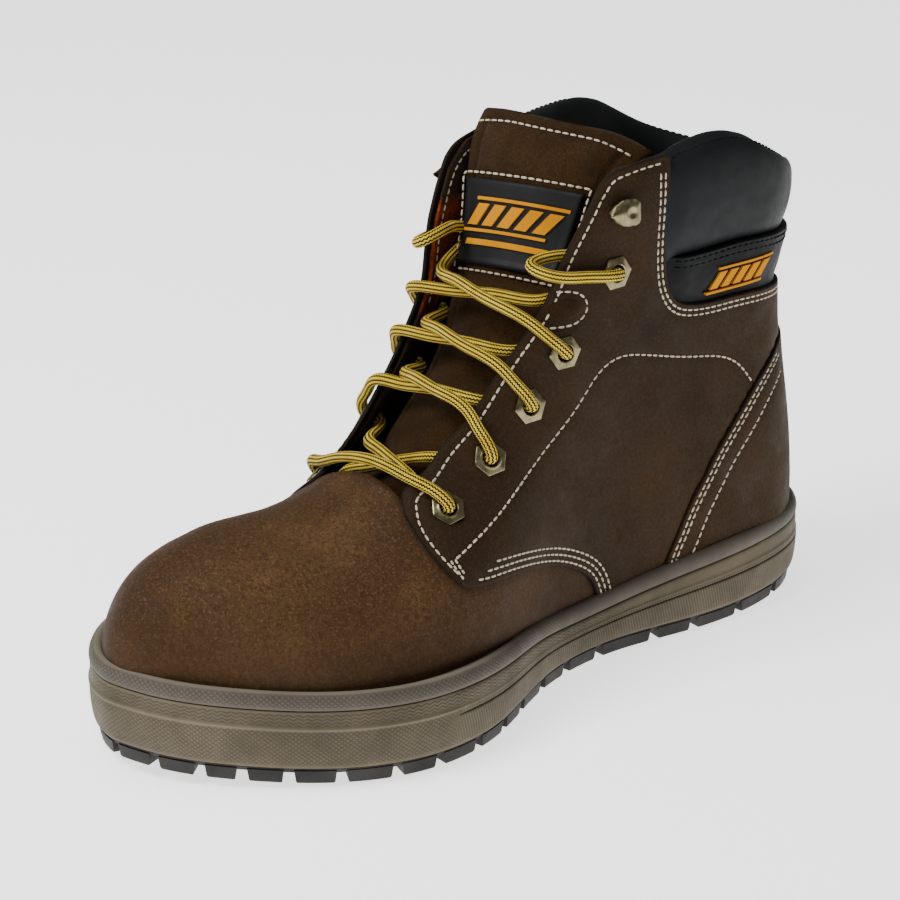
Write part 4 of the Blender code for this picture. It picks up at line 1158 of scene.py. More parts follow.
def make_back_strip():
    """The black strip up the back seam."""
    corners = [(-7, 103), (7, 103), (7.5, 148.5), (-7.5, 148.5)]
    outline = keep_corners(corners, 2.0)
    rows = [np.array([(sign * 4.8, 105.0), (sign * 5.2, 147.0)]) for sign in (1, -1)]
    piece = panel("back_strip", outline, 2.0, 1.2, BLACK_PATCH, rows)
    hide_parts("backstay_strip")
    thread = Thread("back_strip_stitching", BLACK_THREAD)
    for row in rows:
        thread.row(row, 1.8)
    thread.finish()


PATCH_TOP = -0.95        # height of the ankle patch over the surface at its seam


def patch_swell(z):
    """How far the padding under the ankle patch lifts it at a level."""
    return 1.0 + 2.4 * rising(z, 128, 148)


def make_ankle_panel(side, tag):
    """The black padded patch below the collar, stitched along its top."""
    hidden = beside(COLLAR_SEAM, 5.0)
    hidden = hidden[(hidden[:, 1] < 152) & (hidden[:, 0] < 110)]
    top = to_chart(PANEL_TOP, side)
    outline = np.vstack([to_chart([(106, 151.5)], side), top, down_back(147, 120, 14),
                         to_chart(hidden[::-1], side)])
    seam = to_chart(COLLAR_SEAM, side)

    def swell(chart):
        near = rising(distance_to(chart, seam), 0.5, 7.5)
        within = inside(chart, np.vstack([seam, down_back(124, 190, 10)]))
        return np.where(within, near * patch_swell(chart[:, 1]), 0)

    rows = [to_chart(beside(PANEL_TOP, amount)[3:], side) for amount in (2.0, 4.4)]
    piece = panel("ankle_patch_" + tag, outline, PATCH_TOP, 1.0, BLACK_PATCH, rows, swell=swell)
    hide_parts("ankle_panel_" + tag)
    thread = Thread("ankle_stitching_" + tag, BLACK_THREAD)
    for row in rows:
        line = resample(row, STITCH_STEP)
        points, normals = surface(line)
        height = PATCH_TOP - 0.15 + swell(line)
        thread.run(points + normals * height[:, None], normals)
    thread.finish()


def patch_point(s, z, height):
    """A point over the lateral ankle patch."""
    chart = to_chart([(s, z)], LATERAL)
    point, normal = surface(chart)
    return point[0] + normal[0] * (PATCH_TOP + patch_swell(z) + height)


def raised_shape(name, place, outline, low, high, material, body="boot"):
    """A raised flat emblem: outline in local (u, v), place maps (u, v, height) to a point."""
    edge = keep_corners(outline, 1.0)
    count = len(edge)
    verts, faces = triangulated(edge, [(i, (i + 1) % count) for i in range(count)])
    keep = faces[inside(verts[faces].mean(axis=1), edge)]
    rings = [np.array([place(u, v, h) for u, v in edge]) for h in (low, high)]
    points = np.vstack(rings)
    solid = [tuple(v + count for v in face) for face in keep]
    solid += [tuple(face[::-1]) for face in keep]
    for i in range(count):
        j = (i + 1) % count
        solid.append((i, j, j + count, i + count))
    a, b, c = (points[v] for v in solid[0])
    outward = points[count] - points[0]
    if np.cross(b - a, c - a) @ outward < 0:
        solid = [face[::-1] for face in solid]
    return new_piece(name, points, solid, material, body, smooth_faces=False)


def joined_pieces(name, pieces):
    """One piece made of several."""
    with bpy.context.temp_override(active_object=pieces[0], selected_editable_objects=pieces):
        bpy.ops.object.join()
    pieces[0].name = name
    return pieces[0]


EMBLEM_BLOCKS = 5


def emblem_shapes(width, height):
    """A generic emblem: two bars with a row of slanted blocks between them."""
    half_w, half_h = width / 2, height / 2
    bar = height * 0.09
    slant = height * 0.22
    shapes = []
    for low in (-half_h, half_h - bar):
        left, right = (end + slant * (low / half_h) for end in (-half_w, half_w))
        shapes.append([(left, low), (right, low), (right, low + bar), (left, low + bar)])
    low, high = -half_h + bar * 2.1, half_h - bar * 2.1
    tilt = slant * 0.8
    pitch = width / EMBLEM_BLOCKS
    for k in range(EMBLEM_BLOCKS):
        left = -half_w + pitch * (k + 0.14)
        right = left + pitch * 0.66
        shapes.append([(left - tilt, low), (right - tilt, low),
                       (right + tilt, high), (left + tilt, high)])
    return shapes


def emblem(name, place, shapes, low, high, body="boot"):
    """The shapes as one yellow piece, raised from low to high."""
    return joined_pieces(name, [raised_shape("emblem_part", place, shape, low, high, YELLOW, body)
                                for shape in shapes])


def make_badge():
    """The yellow emblem on the lateral ankle patch."""
    middle_s, middle_z = 61.5, 137.5

    def place(u, v, height):
        return patch_point(middle_s - u, middle_z + v - 0.01 * u, height)

    badge = emblem("side_emblem", place, emblem_shapes(30, 10.5), -0.6, 0.7)
    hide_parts("side_badge")


# ---------------------------------------------------------------- the padded collar

COLLAR_COLUMNS = 150
COLLAR_ROWS = 44
COLLAR_STITCH_ROW = 19   # the row of points that carries the stitches of the top edge


def collar_section(s, top, low, full):
    """Outline of the padded roll at s: (height over the surface, level)."""
    tall = top - low
    bulge = full * (2.6 - 2.1 * float(ease((60 - s) / 50)))
    outline = np.array([
        (-1.4, low), (-0.8 + 0.8 * bulge, low + 0.16 * tall),
        (0.2 + 1.05 * bulge, low + 0.42 * tall), (0.2 + 0.95 * bulge, low + 0.66 * tall),
        (-0.6 + 0.55 * bulge, low + 0.86 * tall), (-2.6, top - 1.2), (-3.4, top - 0.9),
        (-6.0, top - 0.2), (-9.0, top - 1.8), (-11.0, low + 0.8 * tall),
        (-11.5, low + 0.5 * tall), (-9.5, low + 0.2 * tall), (-7.0, low - 4.0)])
    outline[:, 0] = np.where(outline[:, 0] < -3,
                             -3 + (outline[:, 0] + 3) * (0.35 + 0.65 * full), outline[:, 0])
    return smooth(outline, COLLAR_ROWS)


def make_collar():
    """A padded roll round the top: outer panel, stitched top edge and inner panel."""
    front_a = float(to_chart([(112, 165)], LATERAL)[0, 0])
    rear_a = float(to_chart([(112, 165)], MEDIAL)[0, 0])
    ring = []
    seam = []
    stitch_line = []
    for a in np.linspace(rear_a, front_a, COLLAR_COLUMNS):
        s = LENGTH / 2 - from_chart(np.array([(a, 165.0)]))[0][1]
        top = float(COLLAR_TOP(s)) - 1.8 * float(ease(-a / 20)) * float(ease((100 - s) / 20))
        low = float(np.interp(s, PANEL_TOP[::-1, 0], PANEL_TOP[::-1, 1])) - 3.0
        full = float(ease((106 - s) / 12))
        height, level = collar_section(s, top, low, full).T
        points, normal = surface(np.stack([np.full(COLLAR_ROWS, a), np.minimum(level, 200)], -1))
        normal = unit(normal * (1, 1, 0.3))
        groove = np.exp(-(np.arange(COLLAR_ROWS) - 20.2) ** 2 / 1.6) * full
        placed = points + normal * (height - 0.9 * groove)[:, None]
        placed[:, 2] -= 0.5 * groove
        ring.append(placed)
        seam.append(groove)
        stitch_line.append((placed[COLLAR_STITCH_ROW], normal[COLLAR_STITCH_ROW]))
    grid = np.vstack(ring)
    grid += 0.125 * wave_noise(grid, 30, 8)[:, None]
    faces = loop_faces(COLLAR_COLUMNS, COLLAR_ROWS) + loop_ends(COLLAR_COLUMNS, COLLAR_ROWS)
    piece = new_piece("padded_collar", grid, faces, COLLAR)
    # painted shade in the groove along the top edge's stitches
    set_attribute(piece, "seam", np.concatenate(seam))
    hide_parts("collar_cover", "collar_foam")
    line, normals = np.array(stitch_line[4:-4]).transpose(1, 0, 2)
    thread = Thread("collar_stitching", BLACK_THREAD)
    thread.run(line + normals * 0.1, normals + (0, 0, 0.6), pitch=2.6, length=2.0, radius=0.36)
    thread.finish()


# ---------------------------------------------------------------- linings and facings

def make_lining(side, tag):
    """The fabric lining of one side of the shaft."""
    top = np.array([(120, 184), (104, 170), (60, 150), (30, 146), (16, 144)])
    front = np.array([(193, 69.5), (190, 74), (176, 86.5), (155, 101), (138, 120), (118, 148),
                      (113, 176)])
    outline = np.vstack([to_chart(np.vstack([front, top]), side), down_back(143, 24),
                         along_level(24, 14, 150, side), to_chart([(152, 57), (185, 64)], side)])
    piece = panel("lining_shell_" + tag, outline, -4.4, 1.0, LINING, spacing=4.0, roughness=0.3)
    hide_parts("lining_" + tag)


def make_facing(side, tag):
    """The rust-coloured split leather inside the eyestay."""
    edge = beside(EYESTAY_EDGE, 2.6 if side > 0 else 1.2)[6:-3]
    back = np.array([(109, 187.6), (110, 176), (113, 146), (136, 117), (153, 98), (174, 83.5),
                     (193, 73)])
    outline = to_chart(np.vstack([edge, [(122, 186.5), (113, 187.8)], back]), side)
    piece = panel("eyestay_facing_shell_" + tag, outline, -1.4, 1.6, RUST, (), eyelet_holes(side),
                  spacing=3.0, roughness=0.5)
    points = np.empty(3 * len(piece.data.vertices))
    piece.data.vertices.foreach_get("co", points)
    level = points.reshape(-1, 3)[:, 2] / MM
    ragged = 5 * wave_noise(points.reshape(-1, 3) / MM, 9, 21)
    # the facing keeps its rust colour from about level 130 up to 165, with ragged limits, and is darker
    # brown below and above
    rust_band = rising(level + ragged, 122, 138) * (1 - rising(level + 0.4 * ragged, 163, 167))
    set_attribute(piece, "darkened", 1 - rust_band)
    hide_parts("eyestay_facing_" + tag)
    thread = Thread("facing_stitching_" + tag, THREAD)
    row = np.vstack([beside(EYESTAY_EDGE, 4.2)[52:-2], beside(EYESTAY_TOP, 4.2)[3:10]])
    points, normals = surface(resample(to_chart(row, side), STITCH_STEP))
    thread.run(points - normals * 3.1, -normals)
    thread.finish()


# ---------------------------------------------------------------- the tongue

TONGUE_LINE = smooth([(226, 61), (212, 70.5), (197, 81.5), (182.5, 93.5), (169, 106.5),
                      (158, 120), (148.5, 135), (141, 150), (136.5, 164), (133, 177),
                      (127.5, 188), (119, 197)], 120)
TONGUE_HALF = profile([(0, 22), (0.3, 22.5), (0.6, 24), (0.78, 27), (0.88, 30), (1, 33)])
TONGUE_LENGTH = float(travelled(TONGUE_LINE)[-1])


def tongue_surface(share, across):
    """World millimetres on the tongue's front, with share up it and across from -1 to 1."""
    share, across = np.broadcast_arrays(np.asarray(share, float), across)
    line_share = np.linspace(0, 1, len(TONGUE_LINE))
    s = np.interp(share, line_share, TONGUE_LINE[:, 0])
    z = np.interp(share, line_share, TONGUE_LINE[:, 1])
    x = across * TONGUE_HALF(share) - 3.0 * rising(share, 0.45, 0.7)
    turn = 0.32 * rising(share, 0.3, 0.8)
    bow = 5.5 * across ** 2
    near_top = rising(share, 0.86, 1.0)
    corner = np.where(across < 0, 1.0, 4.0) * np.clip((np.abs(across) - 0.5) / 0.5, 0, 1) ** 2
    tilt = np.where(across < 0, 3.2, 1.6) * across
    return world(s - turn * (x + 14) - bow * 0.9, x, z - bow * 0.45 - (corner + tilt) * near_top)


def tongue_normal(share, across):
    """Outward normals of the tongue's front."""
    up = tongue_surface(share + 0.004, across) - tongue_surface(share - 0.004, across)
    side = tongue_surface(share, across + 0.02) - tongue_surface(share, across - 0.02)
    return unit(np.cross(side, up))


def tongue_pillow(name, low, high, half, front, rear, material, puff, rounding, rows=(), columns=72,
                  count=110, seed=11):
    """A closed padded sheet on the tongue between two depths, with round edges."""
    share = np.linspace(low, high, count)[:, None]
    across = np.sin(np.linspace(-math.pi / 2, math.pi / 2, columns))[None, :] * 0.5
    across = (across + np.linspace(-0.5, 0.5, columns)[None, :]) * half
    share, across = np.broadcast_arrays(share, across)
    normal = tongue_normal(share, across)
    base = tongue_surface(share, across)
    side_gap = (half - np.abs(across)) * TONGUE_HALF(share)
    top_gap = (high - share) * TONGUE_LENGTH
    gap = np.minimum(side_gap, top_gap)
    drop = rolled(gap, rounding)
    dome = puff * ease(gap / 12)
    dent = np.zeros(share.shape)
    for row_distance in rows:
        dent = np.maximum(dent, bell(gap, row_distance, 1.1))
    wrinkle = 0.35 * wave_noise(base.reshape(-1, 3), 24, seed).reshape(share.shape)
    outer = base + normal * (front + dome - drop - 0.7 * dent + wrinkle)[..., None]
    inner = base + normal * (rear + drop)[..., None]
    faces = grid_faces(count, columns)
    solid = closed_sheet(outer.reshape(-1, 3), inner.reshape(-1, 3), faces)
    piece = new_piece(name, *solid, material, "tongue")
    # painted shade in the dent of the stitch row
    set_attribute(piece, "seam", dent.reshape(-1))
    return piece


def tongue_row(thread, path, height, **words):
    """Stitches on the tongue along a path of (share, across)."""
    path = resample(path, 0.004)
    points = tongue_surface(path[:, 0], path[:, 1])
    normals = tongue_normal(path[:, 0], path[:, 1])
    thread.run(points + normals * height, normals, **words)


TOP_SEAM = 5.5           # from the tongue's top edge to its stitches
LABEL_LOW, LABEL_HIGH, LABEL_LEFT, LABEL_RIGHT = 0.672, 0.85, -0.9, 0.72


def make_tongue():
    """The tongue's suede face, its padding, its stitches and its label."""
    front = tongue_pillow("tongue_face", 0.0, 1.0, 1.0, -0.6, -3.0, SUEDE, 1.2, 1.2,
                          rows=(TOP_SEAM,))
    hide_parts("tongue")
    rear = tongue_pillow("tongue_padding", 0.03, 0.985, 0.97, -3.2, -7.6, LINING, 0.0, 2.0, seed=12)
    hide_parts("tongue_foam", "tongue_lining")
    thread = Thread("tongue_stitching", THREAD, "tongue")
    top = 1 - TOP_SEAM / TONGUE_LENGTH
    tongue_row(thread, [(top - 0.006, -0.97), (top, -0.5), (top, 0.5), (top - 0.006, 0.97)], 0.0)
    margin_up, margin_side = 0.012, 0.055
    low, high = LABEL_LOW - margin_up, LABEL_HIGH + margin_up
    left, right = LABEL_LEFT - margin_side, LABEL_RIGHT + margin_side
    frame_path = [(low, left), (high, left), (high, right), (low, right), (low, left)]
    tongue_row(thread, frame_path, 1.35)
    thread.finish()
    make_label()


def label_place(u, v, height):
    """(u, v) in millimetres from the label's middle to a point over the tongue."""
    share = (LABEL_LOW + LABEL_HIGH) / 2 + v / TONGUE_LENGTH
    across = (LABEL_LEFT + LABEL_RIGHT) / 2 + u / float(TONGUE_HALF(0.76))
    base = tongue_surface(share, across)
    return base + tongue_normal(np.array(share), np.array(across)) * height


def make_label():
    """The black label on the tongue with its raised frame and emblem."""
    half_v = (LABEL_HIGH - LABEL_LOW) / 2 * TONGUE_LENGTH
    half_u = (LABEL_RIGHT - LABEL_LEFT) / 2 * float(TONGUE_HALF(0.76))
    columns, rows = 60, 36
    u = np.linspace(-half_u, half_u, columns)[None, :]
    v = np.linspace(-half_v, half_v, rows)[:, None]
    u, v = np.broadcast_arrays(u, v)
    gap = np.minimum(half_u - np.abs(u), half_v - np.abs(v))
    height = 1.9 - 0.5 * np.clip((0.9 - gap) / 0.9, 0, 1) ** 2
    height -= 0.35 * rising(gap, 1.9, 2.4)
    outer = np.array([[label_place(a, b, h) for a, b, h in zip(*row)] for row in zip(u, v, height)])
    inner = np.array([[label_place(a, b, 0.2) for a, b in zip(*row)] for row in zip(u, v)])
    solid = closed_sheet(outer.reshape(-1, 3), inner.reshape(-1, 3), grid_faces(rows, columns))
    piece = new_piece("tongue_patch", *solid, LABEL, "tongue")
    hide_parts("tongue_label")
    shapes = [[(u_, v_ + 3.0) for u_, v_ in shape] for shape in emblem_shapes(34, 13)]
    shapes.append([(-18, -8.4), (15.5, -8.4), (16.0, -6.2), (-17.5, -6.2)])
    raised = emblem("tongue_emblem", label_place, shapes, 1.2, 2.3, "tongue")
    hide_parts("label_emblem")


# ---------------------------------------------------------------- metal fittings

def seat(s, z, side, tilt=0.0):
    """A place on the surface and its axes: up the eyestay, across it and outwards."""
    point, normal = on_upper(s, z, side)
    up_edge = np.array([0, math.sin(tilt), math.cos(tilt)])
    first = unit(up_edge - normal * (up_edge @ normal))
    return point, np.array([first, np.cross(normal, first), normal])


def seated(local, place):
    """Local points moved to a place on the surface."""
    point, axes = place
    return point + np.asarray(local, float) @ axes


def hexagon(across_flats):
    """Radius of a hexagon at an angle, with a corner on the first axis."""
    def radius(angle):
        turn = (angle + math.pi / 6) % (math.pi / 3) - math.pi / 6
        return across_flats / 2 / np.cos(math.pi / 6 - np.abs(turn))
    return radius


def turned(outline, steps):
    """Points and faces of a ring-shaped piece: outline is closed, radii may be functions."""
    angles = np.linspace(0, 2 * math.pi, steps, endpoint=False)
    loops = []
    for radius, height in outline:
        r = radius(angles) if callable(radius) else np.full(steps, radius)
        loops.append(np.stack([r * np.cos(angles), r * np.sin(angles), np.full(steps, height)], -1))
    return np.vstack(loops), loop_faces(len(loops), steps, closed=True)


def make_eyelets(side, tag):
    """Hexagonal eyelets: a plate with a rolled barrel through the leather."""
    plate = hexagon(11.2)
    edge = hexagon(10.4)
    outline = [(3.4, -3.9), (3.0, -3.9), (3.0, 1.2), (3.15, 1.85), (3.5, 2.1), (4.0, 1.9), (4.3, 1.65),
               (edge, 1.65), (plate, 1.35), (plate, 0.7), (3.4, 0.7)]
    local, faces = turned(outline[::-1], 48)
    for number, (s, z) in enumerate(EYELETS, 1):
        points = seated(local, seat(s, z, side, -0.6))
        piece = new_piece(f"hex_eyelet_{tag}_{number}", points, faces, BRASS)
        piece.data.set_sharp_from_angle(angle=math.radians(40))
        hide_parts(f"eyelet_{tag}_{number}")


def make_hook(side, tag):
    """A folded speed hook: narrow tip in front, wide domed plate over the rear."""
    path = smooth([(3.4, 1.3), (-2.0, 1.3), (-5.0, 2.0), (-6.0, 3.6), (-4.9, 5.3), (-1.0, 6.5),
                   (3.6, 6.4), (7.2, 7.3)], 70)
    share = np.linspace(0, 1, len(path))
    half = np.interp(share, [0, 0.15, 0.3, 0.4, 0.48, 0.56, 0.66, 0.76, 0.9, 1],
                     [2.4, 3.2, 2.9, 2.5, 3.4, 4.6, 5.1, 4.7, 2.9, 1.0])
    run = unit(np.gradient(path, axis=0))
    off = np.stack([run[:, 1], -run[:, 0]], -1)
    across = np.linspace(-1, 1, 25)
    top = rising(share, 0.5, 0.62)
    point, axes = seat(*HOOK, side)
    place = (point, np.array([axes[1] * side, -axes[0] * side, axes[2]]))
    layers = []
    for depth in (-0.45, 0.45):
        grid = []
        for k in range(len(path)):
            drop = top[k] * 1.7 * across ** 2
            dimple = 1.1 * np.exp(-((path[k, 0] + 1.6) ** 2 + (across * half[k]) ** 2) / 2.6) * top[k]
            thin = depth * (1 - 0.5 * across ** 8)
            height = path[k, 1] + off[k, 1] * thin - drop - dimple
            grid.append(np.stack([path[k, 0] + off[k, 0] * thin, across * half[k], height], -1))
        layers.append(np.array(grid))
    front, rear = (seated(layer.reshape(-1, 3), place) for layer in layers)
    points, faces = closed_sheet(front, rear, grid_faces(*layers[0].shape[:2]))
    piece = new_piece("speed_hook_" + tag, points, flipped(faces), BRASS)
    piece.data.set_sharp_from_angle(angle=math.radians(50))
    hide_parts("hook_" + tag)


# ---------------------------------------------------------------- the lace

OVER_EDGE = ((208, 88), (182, 107.5), (168.5, 121.5), (156.5, 136), (147.5, 152))
UNDER_EDGE = ((205.5, 89.6), (195, 96.8), (176.5, 112), (163.5, 127), (151, 143))
OVER_HEIGHT = -3.0       # depth of the lace where it goes over the eyestay's edge
HOLE_TOP = -4.6          # depth of the lace beside an eyelet, above the plate
LACE_DEPTH = 6.6         # depth of the lace under the eyestay
LACE_RADIUS = 2.1
NEAR_LIFT = 7.5          # bow of a crossing that starts on the lateral side
FAR_LIFT = 1.5           # and on the medial side


def towards(eyelet, edge, share):
    """A place between an eyelet and the eyestay's edge in the side view."""
    return eyelet[0] + (edge[0] - eyelet[0]) * share, eyelet[1] + (edge[1] - eyelet[1]) * share


def crossing(first, last, lift):
    """Points between the two edges, bowed outwards from the tongue by lift."""
    steep = rising((first[2] + last[2]) / 2, 85, 155)
    outward = np.array([0, -(0.66 + 0.24 * steep), 0.75 - 0.3 * steep])
    middle = []
    for share in (0.3, 0.5, 0.7):
        middle.append(first + (last - first) * share + outward * lift * (1 - (2 * share - 1) ** 2))
    return middle + [last]


def out_of_eyelet(side, number):
    """Up through an eyelet and over the edge of the eyestay."""
    points = [on_upper(*EYELETS[number], side, depth)[0] for depth in (2.0, -0.5, -2.6)]
    for share, depth in ((0.18, HOLE_TOP), (0.6, HOLE_TOP + 0.8)):
        points.append(on_upper(*towards(EYELETS[number], OVER_EDGE[number], share), side, depth)[0])
    return points + [on_upper(*OVER_EDGE[number], side, OVER_HEIGHT)[0]]


def into_eyelet(side, number):
    """From under the eyestay's edge to the underside of an eyelet."""
    spot = towards(EYELETS[number], UNDER_EDGE[number], 0.3)
    return [on_upper(*spot, side, LACE_DEPTH + 0.3)[0], on_upper(*EYELETS[number], side, 4.6)[0]]


def half_run(stops):
    """From the underside of the lowest eyelet opposite stops[0] to the last eyelet."""
    side, number = stops[0]
    first = on_upper(*UNDER_EDGE[0], -side, LACE_DEPTH)[0]
    points = into_eyelet(-side, 0)[::-1] + [first]
    points += crossing(first, on_upper(*UNDER_EDGE[1], side, LACE_DEPTH)[0], 4.5 if side < 0 else 0.5)
    points += into_eyelet(side, number)
    for here, there in zip(stops, stops[1:]):
        run = out_of_eyelet(*here)
        lift = NEAR_LIFT if here[0] > 0 else FAR_LIFT
        under = on_upper(*UNDER_EDGE[there[1]], there[0], LACE_DEPTH)[0]
        points += run + crossing(run[-1], under, lift)
        points += into_eyelet(*there)
    return points + out_of_eyelet(*stops[-1])


def tucked_end(side):
    """Round the eyestay's edge and back along the inside of the shaft."""
    s, z = OVER_EDGE[-1]
    points = [on_upper(s + 3.5, z + 3.5, side, 1.5)[0] + np.array([0, -2.5, 0]),
              on_upper(s - 1.5, z + 6.0, side, 7.2)[0]]
    for back_s, height, depth in ((138, 157, 7.8), (128, 154, 8.6), (116, 150, 8.8), (104, 146, 8.8),
                                  (92, 142, 9.4), (80, 138, 10.6)):
        points.append(on_upper(back_s, height, side, depth)[0])
    return points


def bottom_bar():
    """From eyelet to eyelet at the bottom, over both edges."""
    runs = []
    for side in (LATERAL, MEDIAL):
        run = [on_upper(*EYELETS[0], side, depth)[0] for depth in (2.0, -0.5, -2.6)]
        run.append(on_upper(*towards(EYELETS[0], OVER_EDGE[0], 0.2), side, HOLE_TOP)[0])
        run.append(on_upper(*OVER_EDGE[0], side, OVER_HEIGHT - 0.6)[0])
        runs.append(run)
    first, second = runs
    return first + crossing(first[-1], second[-1], 6.5)[:-1] + second[::-1]


def swept(path, radius, sides=20):
    """A tube along a path: points, faces, distance along and turn round at each point."""
    run = unit(np.gradient(path, axis=0))
    up = np.cross(run[0], (0.0, 0.0, 1.0))
    angles = np.linspace(0, 2 * math.pi, sides + 1)
    points = []
    for spot, along in zip(path, run):
        up = unit(up - along * (up @ along))
        side = np.cross(along, up)
        points.append(spot + radius * (np.cos(angles)[:, None] * up + np.sin(angles)[:, None] * side))
    width = sides + 1
    faces = grid_faces(len(path), width)
    faces.append(tuple(range(sides))[::-1])
    last = (len(path) - 1) * width
    faces.append(tuple(range(last, last + sides)))
    along = np.repeat(travelled(path), width)
    turn = np.tile(np.linspace(0, 1, width), len(path))
    return np.vstack(points), faces, along, turn


def make_lace():
    """One round cord through all eyelets, its ends tucked into the shaft."""
    from_lateral = half_run([(-1, 1), (1, 2), (-1, 3), (1, 4)]) + tucked_end(LATERAL)
    from_medial = half_run([(1, 1), (-1, 2), (1, 3), (-1, 4)]) + tucked_end(MEDIAL)
    route = np.array(from_lateral[::-1] + bottom_bar() + from_medial)
    path = resample(smooth(route, 4000), 0.9)
    points, faces, along, turn = swept(path, LACE_RADIUS)
    piece = new_piece("round_lace", points, faces, LACE)
    set_attribute(piece, "along", along)
    set_attribute(piece, "turn", turn)
    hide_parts("lace")


# ---------------------------------------------------------------- the sole

CUP_BOTTOM = 6.2
CUP_FLOOR = 12.0         # level of the floor inside the cup
RIM_HEIGHT = 6.0
RIM_GAP = 0.15
WALL_THICK = 7.5         # of the cup's and the rim's side wall
SOLE_LATERAL = smooth([(0, -1), (3, 14), (14, 30.5), (40, 42.3), (80, 44), (120, 38.3), (160, 44.5),
                       (200, 62.3), (228, 65.6), (262, 55), (290, 33.5), (310, 8), (316, -10)])
SOLE_MEDIAL = smooth([(0, -1), (3, -14), (14, -29), (40, -42), (80, -40), (120, -34.5), (160, -38),
                      (200, -51), (230, -57.5), (258, -59), (285, -52.5), (304, -36.5), (313, -22),
                      (316, -10)])
HALF = 260               # points on each side of the sole's outline


def sole_outline():
    """The closed outline (s, x) from the heel round by the lateral side, and its inward ways."""
    ring = np.vstack([evenly(SOLE_LATERAL, HALF), evenly(SOLE_MEDIAL, HALF)[-2:0:-1]])
    for _ in range(10):
        ring = 0.5 * ring + 0.25 * (np.roll(ring, 1, axis=0) + np.roll(ring, -1, axis=0))
    run = unit(np.roll(ring, -1, axis=0) - np.roll(ring, 1, axis=0))
    return ring, np.stack([run[:, 1], -run[:, 0]], -1)


SOLE_RING, SOLE_INWARD = sole_outline()
SOLE_S = SOLE_RING[:, 0]
SOLE_ALONG = travelled(SOLE_RING)


def rim_top(s):
    """Top of the rim: it dips in the waist."""
    return 34.0 - 8 * bell(s, 135, 45)


def cup_level(share):
    """Levels round the cup at a share of its height."""
    return CUP_BOTTOM + share * (rim_top(SOLE_S) - RIM_HEIGHT - RIM_GAP - CUP_BOTTOM)


def rim_level(share):
    """Levels round the rim at a share of its height."""
    return rim_top(SOLE_S) - RIM_HEIGHT * (1 - share) + RIM_GAP


def sole_loop(move_in, level):
    """World points of the outline moved inwards, at a level that follows the toe's rise."""
    flat = SOLE_RING + SOLE_INWARD * np.asarray(move_in)[..., None]
    return world(flat[:, 0], flat[:, 1], level + spring(SOLE_S))


def cap_strips(start, count, up):
    """Strips across the outline from one side to the other."""
    faces = []
    for j in range(count // 2):
        loop = (j, j + 1, (count - j - 1) % count, (count - j) % count)
        loop = [start + v for v in dict.fromkeys(loop)]
        faces.append(loop[::-1] if up else loop)
    return faces


def capped_loops(rows):
    """Faces of a stack of sole outlines that is closed below and above."""
    count = len(SOLE_RING)
    return [*flipped(loop_faces(rows, count)), *cap_strips(0, count, False),
            *cap_strips((rows - 1) * count, count, True)]


def make_cup():
    """The rubber cup: hatched toe, ribbed sides, a zigzag band and a parting groove."""
    toe = rising(SOLE_S, 212, 232)
    side = 1 - rising(SOLE_S, 214, 226)
    shares = [0, 0.02, 0.05, 0.1, 0.17, 0.26, 0.36, 0.46, 0.55, 0.58, 0.595, 0.605, 0.615,
              0.63, 0.66, 0.69, 0.705, 0.72, 0.735, 0.75, 0.78, 0.84, 0.9, 0.95, 0.98, 1.0]
    insets = [2.2, 1.7, 1.25, 0.9, 0.6, 0.35, 0.15, 0.05, 0.0, 0.0, 0.02, 0.03, 0.04,
              0.05, 0.1, 0.15, 0.2, 0.3, 0.4, 0.5, 0.55, 0.5, 0.5, 0.55, 0.7, 1.0]
    loops = []
    fields = {"hatch": [], "ribs": [], "zigzag": [], "groove": [], "highlight": []}
    for share, inset in zip(shares, insets):
        groove = bell(share, 0.605, 0.009) * side
        crest = bell(share, 0.715, 0.02) * (0.25 + 0.75 * toe)
        lower = float(rising(share, 0.03, 0.08) * (1 - rising(share, 0.66, 0.7)))
        band = float(rising(share, 0.74, 0.77) * (1 - rising(share, 0.95, 0.98)))
        loops.append(sole_loop(inset + 0.9 * groove - 0.55 * crest, cup_level(share)))
        # the groove also carries its painted shade
        fields["groove"].append(groove)
        fields["highlight"].append(crest + 0.6 * bell(share, 0.985, 0.02) * toe)
        fields["hatch"].append(lower * toe)
        fields["ribs"].append(lower * (1 - toe) * rising(SOLE_S, 12, 70))
        fields["zigzag"].append(band * rising(SOLE_S, 95, 150))
    loops += [sole_loop(WALL_THICK, cup_level(1.0)), sole_loop(WALL_THICK, CUP_FLOOR + 0 * SOLE_S)]
    rows = len(loops)
    faces = capped_loops(rows)
    points = np.vstack(loops)
    piece = new_piece("rubber_cup", points, faces, SIDEWALL)
    piece.data.set_sharp_from_angle(angle=math.radians(55))
    for name, values in fields.items():
        set_attribute(piece, name, np.concatenate(values))
    set_attribute(piece, "along", np.tile(SOLE_ALONG, rows))
    set_attribute(piece, "up", points[:, 2] - np.tile(spring(SOLE_S), rows))
    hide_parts("cupsole")


